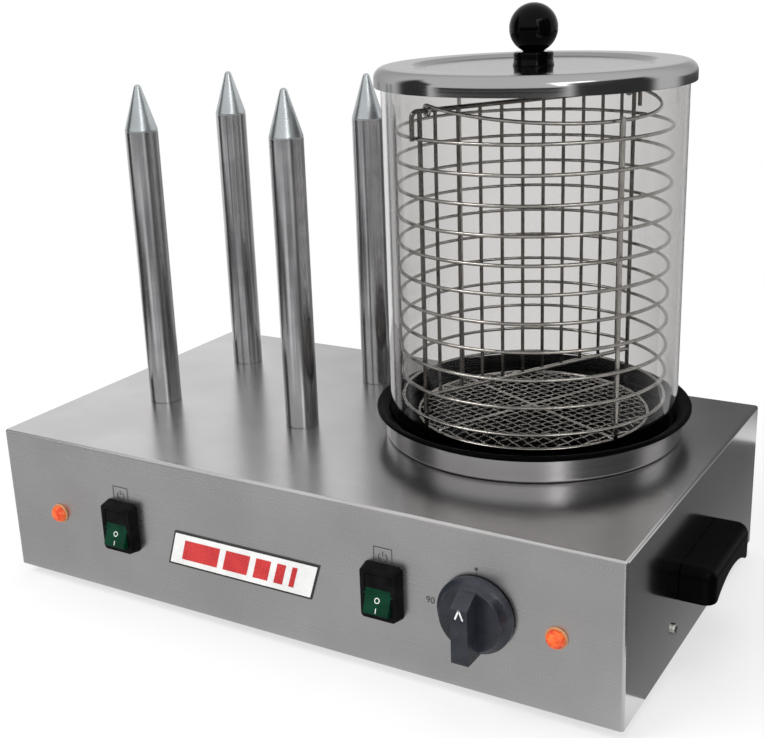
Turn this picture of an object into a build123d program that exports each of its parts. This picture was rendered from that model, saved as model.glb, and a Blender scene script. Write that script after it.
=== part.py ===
from build123d import *
from math import cos, hypot, radians, sin, sqrt
import os

# Hot dog machine: four heated bun spikes beside a glass sausage steamer, on a folded steel housing.
# Millimetres. +X is to the right, +Y to the back, +Z up. The feet stand on Z = 0, and the origin is
# under the middle of the whole object's box.

# Clearances
FIT = 0.1
HOLE_GAP = 0.3
RUN_GAP = 0.05
MOVE_GAP = 0.4

# Housing, base tray and feet
SHEET = 1.0
HOUSING_WIDTH = 480.0
HOUSING_DEPTH = 280.0
HOUSING_HEIGHT = 109.0
HOUSING_BEND = 2.5
TRAY_FLANGE = 30.0
VENT_LENGTH = 60.0
VENT_WIDTH = 6.0
VENT_PITCH = 16.0
VENT_COUNT = 7
VENT_ROW_OFFSET = 110.0
FOOT_HEIGHT = 8.0
FOOT_TOP_R = 13.0
FOOT_BOTTOM_R = 11.0
FOOT_INSET = 34.0
FOOT_SCREW_DEPTH = 5.0
FOOT_EDGE = 1.0

# Screws with pan heads
M3_R = 1.5
M4_R = 2.0
M5_R = 2.5
HEAD_R_PER_SHANK = 1.9
HEAD_HEIGHT_PER_SHANK = 1.1
TRAY_SCREW_Y = 51.0
TRAY_SCREW_Z = 22.0
TRAY_SCREW_LENGTH = 6.0

# Bun spikes
SPIKE_CENTRE_X = -0.2292 * HOUSING_WIDTH
SPIKE_CENTRE_Y = 20.0
SPIKE_PITCH_X = 128.0
SPIKE_PITCH_Y = 108.0
SPIKE_R = 12.0
SPIKE_WALL = 1.5
SPIKE_TUBE = 207.0
SPIKE_TIP = 33.0
TIP_FLAT_R = 2.6
TIP_ROUND = 2.2
TIP_SPIGOT = 10.0
TIP_GROOVE = 0.5
NECK_R = 8.0
NECK_PLUG = 12.0
NECK_THREAD = 12.0
NUT_ACROSS_FLATS = 24.0
NUT_HEIGHT = 6.0
SPIKE_HEATER_R = 5.0
SPIKE_HEATER_LENGTH = 170.0
SPIKE_HEATER_BELOW = 24.0

# Steamer: collar, water dish, heater and dish clamp
STEAMER_X = 0.225 * HOUSING_WIDTH
STEAMER_Y = 30.0
COLLAR_R = 103.5
COLLAR_SHEET = 1.2
COLLAR_HEIGHT = 15.0
COLLAR_FLANGE = 12.0
COLLAR_BEND = 2.0
COLLAR_SCREWS = 4
COLLAR_SCREW_LENGTH = 8.0
DISH_SHEET = 1.5
DISH_FLOOR_R = 92.5
DISH_FLOOR_UP = 8.0
DISH_LEDGE_UP = 12.0
DISH_LEDGE_SLOPE = 1.5
DISH_RIM_R = 110.0
DISH_RIM_UP = 21.0
DISH_RIM_ROLL = 2.5
DISH_BEND = 2.0
DISH_STUD_R = 3.0
DISH_STUD = 24.0
DISH_NUT_ACROSS_FLATS = 10.0
DISH_NUT_HEIGHT = 5.0
HEATER_OPENING_R = 75.0
HEATER_RING_R = 60.0
HEATER_TUBE_R = 3.2
HEATER_LEG = 26.0
HEATER_GAP_ANGLE = 24.0
CLAMP_BAR_LENGTH = 184.0
CLAMP_BAR_WIDTH = 24.0
CLAMP_BAR_SHEET = 2.0

# Glass cylinder and lid
GLASS_R = 100.0
GLASS_WALL = 2.5
GLASS_HEIGHT = 240.0
GLASS_EDGE = 0.8
LID_R = 104.5
LID_SHEET = 1.0
LID_SKIRT = 12.3
LID_BEND = 4.5
LID_RECESS_R = 71.0
LID_RECESS = 2.0
LID_RECESS_SLOPE = 4.0
LID_RECESS_BEND = 3.0
LID_COLLAR_R = 13.5
LID_COLLAR_WAIST = 0.8
LID_COLLAR_HEIGHT = 8.7
LID_COLLAR_EDGE = 1.5
LID_BALL_R = 15.8
LID_NECK_R = 7.0
LID_NECK = 0.5
LID_SCREW_DEPTH = 10.0

# Wire basket
HOOP_R = 90.5
HOOP_WIRE_R = 1.2
HOOP_COUNT = 11
HOOP_PITCH = 18.4
HOOP_BOTTOM_UP = 28.3
DIVIDER_ANGLE = 61.0
DIVIDER_TOP_UP = 229.0
DIVIDER_BOTTOM_UP = 42.0
DIVIDER_WIRES = 10
DIVIDER_PITCH = 17.0
DIVIDER_WIRE_R = 1.2
BAR_R = 1.5
BAR_BEND = 4.0
HOOK_NEAR = 18.0
HOOK_FAR = 12.0
POST_R = 1.5
POST_TOP_UP = 225.0
BAIL_WIRE_R = 1.2
BAIL_R = 82.5
BAIL_DROP = 7.0
BAIL_EYE_TURN = 290.0

# Sieve under the basket
SIEVE_R = 80.0
SIEVE_WIRE_R = 1.3
SIEVE_UP = 14.5
SIEVE_BEND = 2.0
SIEVE_ANGLE = -27.0
NET_SHEET = 1.0
NET_PITCH = 8.8
NET_WIRE = 1.6

# Front panel controls, placed in shares of the housing's width from its middle and up from its lower edge
LAMP_LEFT_X = -0.4 * HOUSING_WIDTH
LAMP_RIGHT_X = 0.4135 * HOUSING_WIDTH
LAMP_UP = 51.0
LAMP_LENS_R = 6.0
LAMP_LENS_HEIGHT = 4.4
LAMP_LENS_BASE = 1.2
LAMP_RIM_R = 7.2
LAMP_RIM = 1.4
LAMP_BARREL_R = 5.6
LAMP_BARREL = 22.0
SWITCH_LEFT_X = -0.273 * HOUSING_WIDTH
SWITCH_RIGHT_X = 0.172 * HOUSING_WIDTH
SWITCH_UP = 54.0
SWITCH_WIDTH = 28.0
SWITCH_HEIGHT = 37.0
SWITCH_PROUD = 8.0
SWITCH_DRAFT = 10.0
SWITCH_CORNER = 4.0
SWITCH_BODY_WIDTH = 24.0
SWITCH_BODY_HEIGHT = 31.0
SWITCH_BODY_DEPTH = 24.0
SWITCH_FLOOR = 4.0
ROCKER_WIDTH = 18.0
ROCKER_R = 13.2
ROCKER_VALLEY = 1.0
ROCKER_SLOPE = 12.0
ROCKER_TILT = 10.0
ROCKER_BACK = 7.0
ROCKER_PIVOT_DEPTH = 1.5
ROCKER_PIN_R = 1.5
ROCKER_PIN = 1.8
ROCKER_EDGE = 0.8
TERMINAL_WIDTH = 6.3
TERMINAL_SHEET = 0.8
TERMINAL_LENGTH = 9.0
TERMINAL_PITCH_X = 10.0
TERMINAL_PITCH_Z = 14.0
PLATE_X = -0.0585 * HOUSING_WIDTH
PLATE_UP = 47.0
PLATE_WIDTH = 119.0
PLATE_HEIGHT = 26.0
PLATE_SLANT = 8.0
PLATE_SHEET = 0.8

# Thermostat and its knob
KNOB_X = 0.30625 * HOUSING_WIDTH
KNOB_UP = 54.0
KNOB_GAP = 1.0
KNOB_SKIRT_R = 25.0
KNOB_SKIRT = 3.0
KNOB_BEVEL = 1.6
KNOB_CAP_BASE_R = 22.6
KNOB_CAP_R = 20.5
KNOB_CAP = 11.0
KNOB_CAP_EDGE = 1.2
KNOB_WALL = 2.0
KNOB_HOLLOW = 5.0
KNOB_HUB_R = 6.0
KNOB_PROUD = 24.0
WING_WIDTH = 11.0
WING_BOTTOM = 23.0
WING_TOP = 20.0
WING_SHOULDER = 6.0
WING_EDGE = 1.6
SHAFT_R = 3.0
SHAFT_IN_KNOB = 9.0
SHAFT_IN_BODY = 12.0
THERMOSTAT_R = 17.0
THERMOSTAT_DEPTH = 24.0
THERMOSTAT_PLATE_WIDTH = 42.0
THERMOSTAT_PLATE_HEIGHT = 26.0
THERMOSTAT_PLATE = 2.0
THERMOSTAT_SCREW_PITCH = 28.0
THERMOSTAT_SCREW_LENGTH = 7.0
BULB_R = 3.0
BULB_LENGTH = 66.0
BULB_OFFSET_Y = 25.0
CAPILLARY_R = 1.0
CAPILLARY_RUN = 6.0
CAPILLARY_BEND = 12.0

# Carrying handles on the two ends
HANDLE_LENGTH = 86.0
HANDLE_PROUD = 22.5
HANDLE_HEIGHT = 24.0
HANDLE_UP = 50.0
HANDLE_WALL = 3.5
HANDLE_END = 10.0
HANDLE_EDGE = 8.0
HANDLE_ARCH_RISE = 9.0
HANDLE_SCREW_DEPTH = 12.0
HANDLE_FOOT_EDGE = 2.0

# Mains cable gland and terminal block
GLAND_X = -0.35 * HOUSING_WIDTH
GLAND_UP = 52.0
GLAND_BARREL_R = 9.8
GLAND_BARREL = 11.0
GLAND_BORE_R = 5.5
GLAND_FLANGE_ACROSS_FLATS = 24.0
GLAND_FLANGE = 5.0
GLAND_NECK_R = 8.4
GLAND_NECK = 8.0
GLAND_PROUD = 22.0
GLAND_DOME_R = 12.0
GLAND_DOME_EDGE = 4.0
CABLE_BORE_R = 4.25
LOCKNUT_HEIGHT = 5.0
LOCKNUT_ACROSS_FLATS = 26.0
BLOCK_LENGTH = 42.0
BLOCK_DEPTH = 20.0
BLOCK_HEIGHT = 18.0
BLOCK_WAYS = 3
BLOCK_BORE_R = 2.4
BLOCK_STEP = 6.0

# Places worked out from the sizes above
HOUSING_Y = (KNOB_PROUD - GLAND_PROUD) / 2
FRONT_Y = HOUSING_Y - HOUSING_DEPTH / 2
REAR_Y = HOUSING_Y + HOUSING_DEPTH / 2
SIDE_X = HOUSING_WIDTH / 2
BOTTOM_Z = FOOT_HEIGHT
TOP_Z = BOTTOM_Z + HOUSING_HEIGHT
TRAY_Z = BOTTOM_Z + SHEET
UNDER_TOP_Z = TOP_Z - SHEET
ON_BASE = (Align.CENTER, Align.CENTER, Align.MIN)
UNDER_BASE = (Align.CENTER, Align.CENTER, Align.MAX)
STEAMER = Pos(STEAMER_X, HOUSING_Y + STEAMER_Y, TOP_Z)
BASKET = STEAMER * Rot(0, 0, DIVIDER_ANGLE)
POST_PLACE_R = HOOP_R - HOOP_WIRE_R - FIT - POST_R
SPIKES = [
    Pos(SPIKE_CENTRE_X + sx * SPIKE_PITCH_X / 2, HOUSING_Y + SPIKE_CENTRE_Y + sy * SPIKE_PITCH_Y / 2, TOP_Z)
    for sy in (-1, 1)
    for sx in (-1, 1)
]
FEET = [
    Pos(sx * (SIDE_X - FOOT_INSET), HOUSING_Y + sy * (HOUSING_DEPTH / 2 - FOOT_INSET), 0)
    for sy in (-1, 1)
    for sx in (-1, 1)
]
DISH_WALL_R = GLASS_R + MOVE_GAP + DISH_SHEET / 2
GLASS_TOP_UP = DISH_LEDGE_UP + GLASS_HEIGHT


def on_front(x, up):
    """Place on the front panel: local Z points out of the panel, local Y up."""
    return Pos(x, FRONT_Y, BOTTOM_Z + up) * Rot(90, 0, 0)


def on_rear(x, up):
    """Place on the rear wall: local Z points out of the wall."""
    return Pos(x, REAR_Y, BOTTOM_Z + up) * Rot(-90, 0, 0)


def on_side(side, y, up):
    """Place on an end wall, side 1 or -1: local Z points out of the wall."""
    return Pos(side * SIDE_X, HOUSING_Y + y, BOTTOM_Z + up) * Rot(0, side * 90, 0)


def rod(radius, bottom, top):
    """Round rod on the local Z axis."""
    return Pos(0, 0, bottom) * Cylinder(radius, top - bottom, align=ON_BASE)


def tube(outer, inner, bottom, top):
    """Round tube on the local Z axis."""
    return rod(outer, bottom, top) - rod(inner, bottom, top)


def turned(points):
    """Solid turned about the local Z axis from a closed outline of radius and height."""
    return revolve(Plane.XZ * make_face(Polyline(*points, close=True)), Axis.Z)


def spun_sheet(points, bends, thickness):
    """Sheet of one thickness spun about the local Z axis along its middle line."""
    line = FilletPolyline(*points, radius=bends)
    return revolve(Plane.XZ * trace(line, thickness), Axis.Z)


def bent_wire(points, radius, bends):
    """Round wire along straight runs joined by bends."""
    path = FilletPolyline(*points, radius=bends)
    return sweep((path ^ 0) * Circle(radius), path)


def screw(shank_r, length):
    """Pan head screw: the head's seat is at Z = 0 and the shank goes down."""
    head_r = shank_r * HEAD_R_PER_SHANK
    head_height = shank_r * HEAD_HEIGHT_PER_SHANK
    head = rod(head_r, 0, head_height)
    head = fillet(head.edges().group_by(Axis.Z)[-1], head_height / 2)
    return head + rod(shank_r, -length, 0)


def hex_nut(across_flats, bore_r, bottom, top):
    """Hexagon nut on the local Z axis, with a plain bore."""
    nut = RegularPolygon(across_flats / 2, 6, major_radius=False)
    return Pos(0, 0, bottom) * extrude(nut, top - bottom) - rod(bore_r, bottom, top)


# Housing


def sheet_box(inset, bend, bottom):
    """Block of the housing's outline, drawn in by an inset, with bent upper and upright edges."""
    block = Box(
        HOUSING_WIDTH - 2 * inset,
        HOUSING_DEPTH - 2 * inset,
        TOP_Z - inset - bottom,
        align=ON_BASE,
    )
    block = Pos(0, HOUSING_Y, bottom) * block
    block = fillet(block.edges().filter_by(Axis.Z), bend)
    return fillet(block.edges().group_by(Axis.Z)[-1], bend)


def through(radius):
    """Round cutter through one sheet wall, along local Z."""
    return rod(radius, -2 * SHEET, SHEET)


def switch_window():
    """Cutter for one switch body through the front panel."""
    width = SWITCH_BODY_WIDTH + 2 * HOLE_GAP
    height = SWITCH_BODY_HEIGHT + 2 * HOLE_GAP
    return Box(width, height, 4 * SHEET)


def housing():
    """Five-sided cover folded from stainless sheet, open below."""
    cover = sheet_box(0, HOUSING_BEND, BOTTOM_Z)
    cover -= sheet_box(SHEET, HOUSING_BEND - SHEET, BOTTOM_Z)
    cuts = [place * through(NECK_R + HOLE_GAP) for place in SPIKES]
    cuts.append(STEAMER * through(HEATER_OPENING_R))
    cuts += [STEAMER * place * through(M4_R + HOLE_GAP) for place in collar_screw_places()]
    cuts += [on_front(x, LAMP_UP) * through(LAMP_BARREL_R + HOLE_GAP) for x in (LAMP_LEFT_X, LAMP_RIGHT_X)]
    cuts += [on_front(x, SWITCH_UP) * switch_window() for x in (SWITCH_LEFT_X, SWITCH_RIGHT_X)]
    cuts.append(on_front(KNOB_X, KNOB_UP) * through(SHAFT_R + HOLE_GAP))
    cuts += [on_front(x, KNOB_UP) * through(M4_R + HOLE_GAP) for x in thermostat_screw_places()]
    cuts += [place * through(M5_R + HOLE_GAP) for place in handle_screw_places()]
    cuts += [place * through(M4_R + HOLE_GAP) for place in tray_screw_places()]
    cuts.append(on_rear(GLAND_X, GLAND_UP) * through(GLAND_BARREL_R + HOLE_GAP))
    return cover - cuts


def base_tray():
    """Bottom tray with two upright end flanges, vent slots and foot holes."""
    width = HOUSING_WIDTH - 2 * SHEET - 2 * FIT
    depth = HOUSING_DEPTH - 2 * SHEET - 2 * FIT
    tray = Box(width, depth, SHEET, align=ON_BASE)
    tray = fillet(tray.edges().filter_by(Axis.Z), HOUSING_BEND)
    flange = Box(SHEET, depth - 2 * HOUSING_BEND, TRAY_FLANGE, align=ON_BASE)
    for side in (-1, 1):
        tray += Pos(side * (width - SHEET) / 2, 0, 0) * flange
    tray = Pos(0, HOUSING_Y, BOTTOM_Z) * tray
    slot = extrude(SlotOverall(VENT_LENGTH, VENT_WIDTH, rotation=90), 3 * SHEET, both=True)
    for row in (-1, 1):
        slots = Pos(row * VENT_ROW_OFFSET, HOUSING_Y, BOTTOM_Z) * GridLocations(VENT_PITCH, 1, VENT_COUNT, 1)
        tray -= [place * slot for place in slots]
    tray -= [place * rod(M4_R + HOLE_GAP, BOTTOM_Z - SHEET, TRAY_Z + SHEET) for place in FEET]
    tray -= [place * rod(M4_R + HOLE_GAP, -4 * SHEET, 0) for place in tray_screw_places()]
    return tray


def foot():
    """Rubber foot, a tapered disc with a blind screw hole."""
    outline = [(0, 0), (FOOT_BOTTOM_R, 0), (FOOT_TOP_R, BOTTOM_Z), (0, BOTTOM_Z)]
    pad = turned(outline)
    pad = fillet(pad.edges().group_by(Axis.Z)[0], FOOT_EDGE)
    return pad - rod(M4_R + FIT, BOTTOM_Z - FOOT_SCREW_DEPTH - FIT, BOTTOM_Z)


def foot_screws():
    """Screws from inside the tray into the feet."""
    one = Pos(0, 0, TRAY_Z) * screw(M4_R, SHEET + FOOT_SCREW_DEPTH)
    return [place * one for place in FEET]


def tray_screw_places():
    """Screws through each end wall into the tray's flange."""
    return [on_side(side, y, TRAY_SCREW_Z) for side in (-1, 1) for y in (-TRAY_SCREW_Y, TRAY_SCREW_Y)]


def tray_screws():
    """Screws that hold the base tray in the housing."""
    return [place * screw(M4_R, TRAY_SCREW_LENGTH) for place in tray_screw_places()]


# Bun spikes


def spike_tube():
    """Steel tube standing on the top sheet."""
    return tube(SPIKE_R, SPIKE_R - SPIKE_WALL, 0, SPIKE_TUBE)


def spike_tip():
    """Aluminium cone with a blunt nose and a spigot inside the tube."""
    top = SPIKE_TUBE + SPIKE_TIP
    groove = SPIKE_R - TIP_GROOVE
    outline = [
        (0, SPIKE_TUBE),
        (groove, SPIKE_TUBE),
        (groove, SPIKE_TUBE + TIP_GROOVE),
        (SPIKE_R, SPIKE_TUBE + TIP_GROOVE),
        (TIP_FLAT_R, top),
        (0, top),
    ]
    cone = turned(outline)
    cone = fillet(cone.edges().group_by(Axis.Z)[-1], TIP_ROUND)
    spigot = rod(SPIKE_R - SPIKE_WALL - FIT, SPIKE_TUBE - TIP_SPIGOT, SPIKE_TUBE)
    return cone + spigot


def spike_neck():
    """Steel plug in the foot of the tube, with a threaded neck through the top sheet."""
    neck = rod(SPIKE_R - SPIKE_WALL - FIT, 0, NECK_PLUG) + rod(NECK_R, -NECK_THREAD, 0)
    return neck - rod(SPIKE_HEATER_R + FIT, -NECK_THREAD, NECK_PLUG)


def spike_nut():
    """Hexagon nut under the top sheet."""
    return hex_nut(NUT_ACROSS_FLATS, NECK_R + FIT, -SHEET - NUT_HEIGHT, -SHEET)


def spike_heater():
    """Cartridge heater up the middle of the spike."""
    return rod(SPIKE_HEATER_R, -SPIKE_HEATER_BELOW, SPIKE_HEATER_LENGTH - SPIKE_HEATER_BELOW)


# Steamer


def collar_screw_places():
    """Screws round the collar's inner flange."""
    radius = COLLAR_R - COLLAR_SHEET - COLLAR_FLANGE / 2
    return PolarLocations(radius, COLLAR_SCREWS, start_angle=180 / COLLAR_SCREWS)


def collar_ring():
    """Spun steel ring on the top sheet, flanged inward below."""
    middle_r = COLLAR_R - COLLAR_SHEET / 2
    line = [
        (COLLAR_R - COLLAR_SHEET - COLLAR_FLANGE, COLLAR_SHEET / 2),
        (middle_r, COLLAR_SHEET / 2),
        (middle_r, COLLAR_HEIGHT),
    ]
    ring = spun_sheet(line, COLLAR_BEND, COLLAR_SHEET)
    holes = [place * rod(M4_R + HOLE_GAP, 0, 2 * COLLAR_SHEET) for place in collar_screw_places()]
    return STEAMER * (ring - holes)


def collar_screws():
    """Screws that hold the collar down."""
    one = Pos(0, 0, COLLAR_SHEET) * screw(M4_R, COLLAR_SCREW_LENGTH)
    return [STEAMER * place * one for place in collar_screw_places()]


def water_dish():
    """Coated pan: flat floor, a ledge for the glass, a flared rolled rim and a stud below."""
    half = DISH_SHEET / 2
    floor_up = DISH_FLOOR_UP - half
    ledge_up = DISH_LEDGE_UP - half
    rim_r = DISH_RIM_R - half
    line = [
        (0, floor_up),
        (DISH_FLOOR_R, floor_up),
        (DISH_FLOOR_R + DISH_LEDGE_SLOPE, ledge_up),
        (DISH_WALL_R, ledge_up),
        (DISH_WALL_R, COLLAR_HEIGHT + DISH_SHEET),
        (rim_r - DISH_RIM_ROLL / 2, DISH_RIM_UP - half),
        (rim_r, DISH_RIM_UP - DISH_RIM_ROLL),
    ]
    bends = [DISH_BEND, DISH_BEND, half, DISH_BEND, half]
    pan = spun_sheet(line, bends, DISH_SHEET)
    under = DISH_FLOOR_UP - DISH_SHEET
    return STEAMER * (pan + rod(DISH_STUD_R, under - DISH_STUD, under))


def dish_heater():
    """Tubular ring heater under the dish, with two legs down through the top sheet."""
    up = DISH_FLOOR_UP - DISH_SHEET - FIT - HEATER_TUBE_R
    start = -90 + HEATER_GAP_ANGLE / 2
    ring = Pos(0, 0, up) * CenterArc((0, 0), HEATER_RING_R, start, 360 - HEATER_GAP_ANGLE)
    heater = sweep((ring ^ 0) * Circle(HEATER_TUBE_R), ring)
    for end in (ring @ 0, ring @ 1):
        leg = rod(HEATER_TUBE_R, -HEATER_LEG, 0) + Sphere(HEATER_TUBE_R)
        heater += Pos(*end) * leg
    return STEAMER * heater


def dish_clamp_bar():
    """Flat bar under the top sheet that the dish's stud pulls against."""
    bar = Box(CLAMP_BAR_LENGTH, CLAMP_BAR_WIDTH, CLAMP_BAR_SHEET, align=UNDER_BASE)
    bar = fillet(bar.edges().filter_by(Axis.Z), CLAMP_BAR_WIDTH / 3)
    bar -= rod(DISH_STUD_R + HOLE_GAP, -CLAMP_BAR_SHEET, 0)
    return STEAMER * Pos(0, 0, -SHEET) * bar


def dish_clamp_nut():
    """Nut on the dish's stud."""
    top = -SHEET - CLAMP_BAR_SHEET
    return STEAMER * hex_nut(DISH_NUT_ACROSS_FLATS, DISH_STUD_R + FIT, top - DISH_NUT_HEIGHT, top)


# Glass and lid


def glass_cylinder():
    """Clear glass cylinder on the dish's ledge, with eased edges."""
    wall = tube(GLASS_R, GLASS_R - GLASS_WALL, DISH_LEDGE_UP, GLASS_TOP_UP)
    return STEAMER * fillet(wall.edges().filter_by(GeomType.CIRCLE), GLASS_EDGE)


def lid_seat_up():
    """Upper face of the lid's recess, where its knob stands."""
    return GLASS_TOP_UP + LID_SHEET - LID_RECESS


def lid():
    """Pressed steel lid with a shallow recess and a turned-down skirt."""
    flat_up = GLASS_TOP_UP + LID_SHEET / 2
    recess_up = flat_up - LID_RECESS
    skirt_r = LID_R - LID_SHEET / 2
    line = [
        (0, recess_up),
        (LID_RECESS_R - LID_RECESS_SLOPE, recess_up),
        (LID_RECESS_R, flat_up),
        (skirt_r, flat_up),
        (skirt_r, GLASS_TOP_UP + LID_SHEET - LID_SKIRT),
    ]
    cap = spun_sheet(line, [LID_RECESS_BEND, LID_RECESS_BEND, LID_BEND], LID_SHEET)
    hole = rod(M5_R + HOLE_GAP, lid_seat_up() - 2 * LID_SHEET, lid_seat_up() + LID_SHEET)
    return STEAMER * (cap - hole)


def lid_knob_collar():
    """Black waisted collar between the lid and the ball."""
    half = LID_COLLAR_HEIGHT / 2
    waist = ThreePointArc(
        (LID_COLLAR_R, 0),
        (LID_COLLAR_R - LID_COLLAR_WAIST, half),
        (LID_COLLAR_R, LID_COLLAR_HEIGHT),
    )
    rest = Polyline((LID_COLLAR_R, LID_COLLAR_HEIGHT), (0, LID_COLLAR_HEIGHT), (0, 0), (LID_COLLAR_R, 0))
    collar = revolve(Plane.XZ * make_face([*waist.edges(), *rest.edges()]), Axis.Z)
    collar = fillet(collar.edges().group_by(Axis.Z)[-1], LID_COLLAR_EDGE)
    collar -= rod(M5_R + HOLE_GAP, 0, LID_COLLAR_HEIGHT)
    return STEAMER * Pos(0, 0, lid_seat_up()) * collar


def lid_knob():
    """Black ball knob with a flat seat."""
    centre = LID_NECK + sqrt(LID_BALL_R**2 - LID_NECK_R**2)
    ball = Pos(0, 0, centre) * Sphere(LID_BALL_R) + rod(LID_NECK_R, 0, centre)
    ball -= rod(LID_BALL_R, -LID_BALL_R, 0)
    ball -= rod(M5_R + FIT, 0, LID_SCREW_DEPTH + FIT)
    return STEAMER * Pos(0, 0, lid_seat_up() + LID_COLLAR_HEIGHT) * ball


def lid_screw():
    """Screw from under the lid up into the ball."""
    length = LID_SHEET + LID_COLLAR_HEIGHT + LID_SCREW_DEPTH
    return STEAMER * Pos(0, 0, lid_seat_up() - LID_SHEET) * Rot(180, 0, 0) * screw(M5_R, length)


# Wire basket, built with the divider along local X


def basket_rings():
    """Closed rings of wire, one above the other, welded to the posts inside them."""
    heights = [HOOP_BOTTOM_UP + HOOP_PITCH * step for step in range(HOOP_COUNT)]
    return [BASKET * Pos(0, 0, height) * Torus(HOOP_R, HOOP_WIRE_R) for height in heights]


def basket_divider():
    """Welded panel: hooked top bar, bottom bar, upright wires and two end posts that are its legs."""
    hook_r = HOOP_R + HOOP_WIRE_R + FIT + BAR_R
    bar_line = [
        (-hook_r, 0, DIVIDER_TOP_UP - HOOK_NEAR),
        (-hook_r, 0, DIVIDER_TOP_UP),
        (hook_r, 0, DIVIDER_TOP_UP),
        (hook_r, 0, DIVIDER_TOP_UP - HOOK_FAR),
    ]
    panel = bent_wire(bar_line, BAR_R, BAR_BEND)
    bottom_bar = Rot(0, 90, 0) * Cylinder(BAR_R, 2 * POST_PLACE_R)
    panel += Pos(0, 0, DIVIDER_BOTTOM_UP) * bottom_bar
    wire = rod(DIVIDER_WIRE_R, DIVIDER_BOTTOM_UP, DIVIDER_TOP_UP)
    panel += [place * wire for place in GridLocations(DIVIDER_PITCH, 1, DIVIDER_WIRES, 1)]
    leg = rod(POST_R, DISH_FLOOR_UP, DIVIDER_TOP_UP)
    panel += [Pos(side * POST_PLACE_R, 0, 0) * leg for side in (-1, 1)]
    return BASKET * panel


def basket_posts():
    """Two posts inside the rings, a quarter turn from the divider's ends."""
    leg = rod(POST_R, DISH_FLOOR_UP, POST_TOP_UP)
    return [BASKET * Pos(0, side * POST_PLACE_R, 0) * leg for side in (-1, 1)]


def basket_bail():
    """Half-round lifting bail whose two eyes turn on the divider's top bar, folded down to one side."""
    eye_r = BAR_R + MOVE_GAP + BAIL_WIRE_R
    bow = Pos(0, 0, eye_r) * CenterArc((0, 0), BAIL_R, 180, 180)
    path = bow.edges()
    for side in (-1, 1):
        eye_plane = Plane((side * BAIL_R, 0, 0), x_dir=(0, 1, 0), z_dir=(1, 0, 0))
        path += (eye_plane * CenterArc((0, 0), eye_r, 90, -BAIL_EYE_TURN)).edges()
    wire = Wire(path)
    bail = sweep((wire ^ 0) * Circle(BAIL_WIRE_R), wire)
    return BASKET * Pos(0, 0, DIVIDER_TOP_UP) * Rot(BAIL_DROP, 0, 0) * bail


# Sieve


def sieve_frame():
    """Wire ring on two crossed wires whose ends are bent down as feet."""
    frame = Pos(0, 0, SIEVE_UP) * Torus(SIEVE_R, SIEVE_WIRE_R)
    bar_up = SIEVE_UP - NET_SHEET / 2 - FIT - SIEVE_WIRE_R
    line = [
        (-SIEVE_R, 0, DISH_FLOOR_UP),
        (-SIEVE_R, 0, bar_up),
        (SIEVE_R, 0, bar_up),
        (SIEVE_R, 0, DISH_FLOOR_UP),
    ]
    bar = bent_wire(line, SIEVE_WIRE_R, SIEVE_BEND)
    frame += [Rot(0, 0, SIEVE_ANGLE + turn) * bar for turn in (0, 90)]
    return STEAMER * frame


def sieve_net():
    """Flat net of square gaps inside the ring."""
    net_r = SIEVE_R - SIEVE_WIRE_R - FIT
    gap = NET_PITCH - NET_WIRE
    count = 2 * int(net_r / NET_PITCH) + 1
    corner = gap / sqrt(2)
    gaps = [
        place * Rectangle(gap, gap)
        for place in GridLocations(NET_PITCH, NET_PITCH, count, count)
        if hypot(place.position.X, place.position.Y) + corner < net_r - NET_WIRE
    ]
    disc = Circle(net_r) - gaps
    net = extrude(disc, NET_SHEET / 2, both=True)
    return STEAMER * Pos(0, 0, SIEVE_UP) * Rot(0, 0, SIEVE_ANGLE) * net


# Front panel


def lamp_holder(x):
    """Round holder with a rim outside the panel and a barrel inside."""
    holder = rod(LAMP_RIM_R, 0, LAMP_RIM)
    holder = fillet(holder.edges().group_by(Axis.Z)[-1], LAMP_RIM / 2)
    return on_front(x, LAMP_UP) * (holder + rod(LAMP_BARREL_R, -LAMP_BARREL, 0))


def lamp_lens(x):
    """Orange domed lens on the holder's rim."""
    lens = rod(LAMP_LENS_R, LAMP_RIM, LAMP_RIM + LAMP_LENS_HEIGHT)
    lens = fillet(lens.edges().group_by(Axis.Z)[-1], LAMP_LENS_HEIGHT - LAMP_LENS_BASE)
    return on_front(x, LAMP_UP) * lens


def switch_frame(x):
    """Black moulded switch: drafted bezel outside, body behind the panel, a well for the rocker."""
    bezel = RectangleRounded(SWITCH_WIDTH, SWITCH_HEIGHT, SWITCH_CORNER)
    frame = extrude(bezel, SWITCH_PROUD, taper=SWITCH_DRAFT)
    body = Box(SWITCH_BODY_WIDTH, SWITCH_BODY_HEIGHT, SWITCH_BODY_DEPTH + SHEET, align=UNDER_BASE)
    frame += body
    well_width = ROCKER_WIDTH + 2 * MOVE_GAP
    pivot_z = SWITCH_PROUD - ROCKER_PIVOT_DEPTH
    well_r = ROCKER_R + MOVE_GAP
    well = Box(well_width, 2 * well_r, SWITCH_PROUD + SWITCH_BODY_DEPTH - SWITCH_FLOOR, align=UNDER_BASE)
    frame -= Pos(0, 0, SWITCH_PROUD) * well
    pin_hole = Cylinder(ROCKER_PIN_R + RUN_GAP, ROCKER_WIDTH + 2 * ROCKER_PIN + 2 * FIT)
    frame -= Pos(0, 0, pivot_z) * Rot(0, 90, 0) * pin_hole
    return on_front(x, SWITCH_UP) * frame


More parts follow.
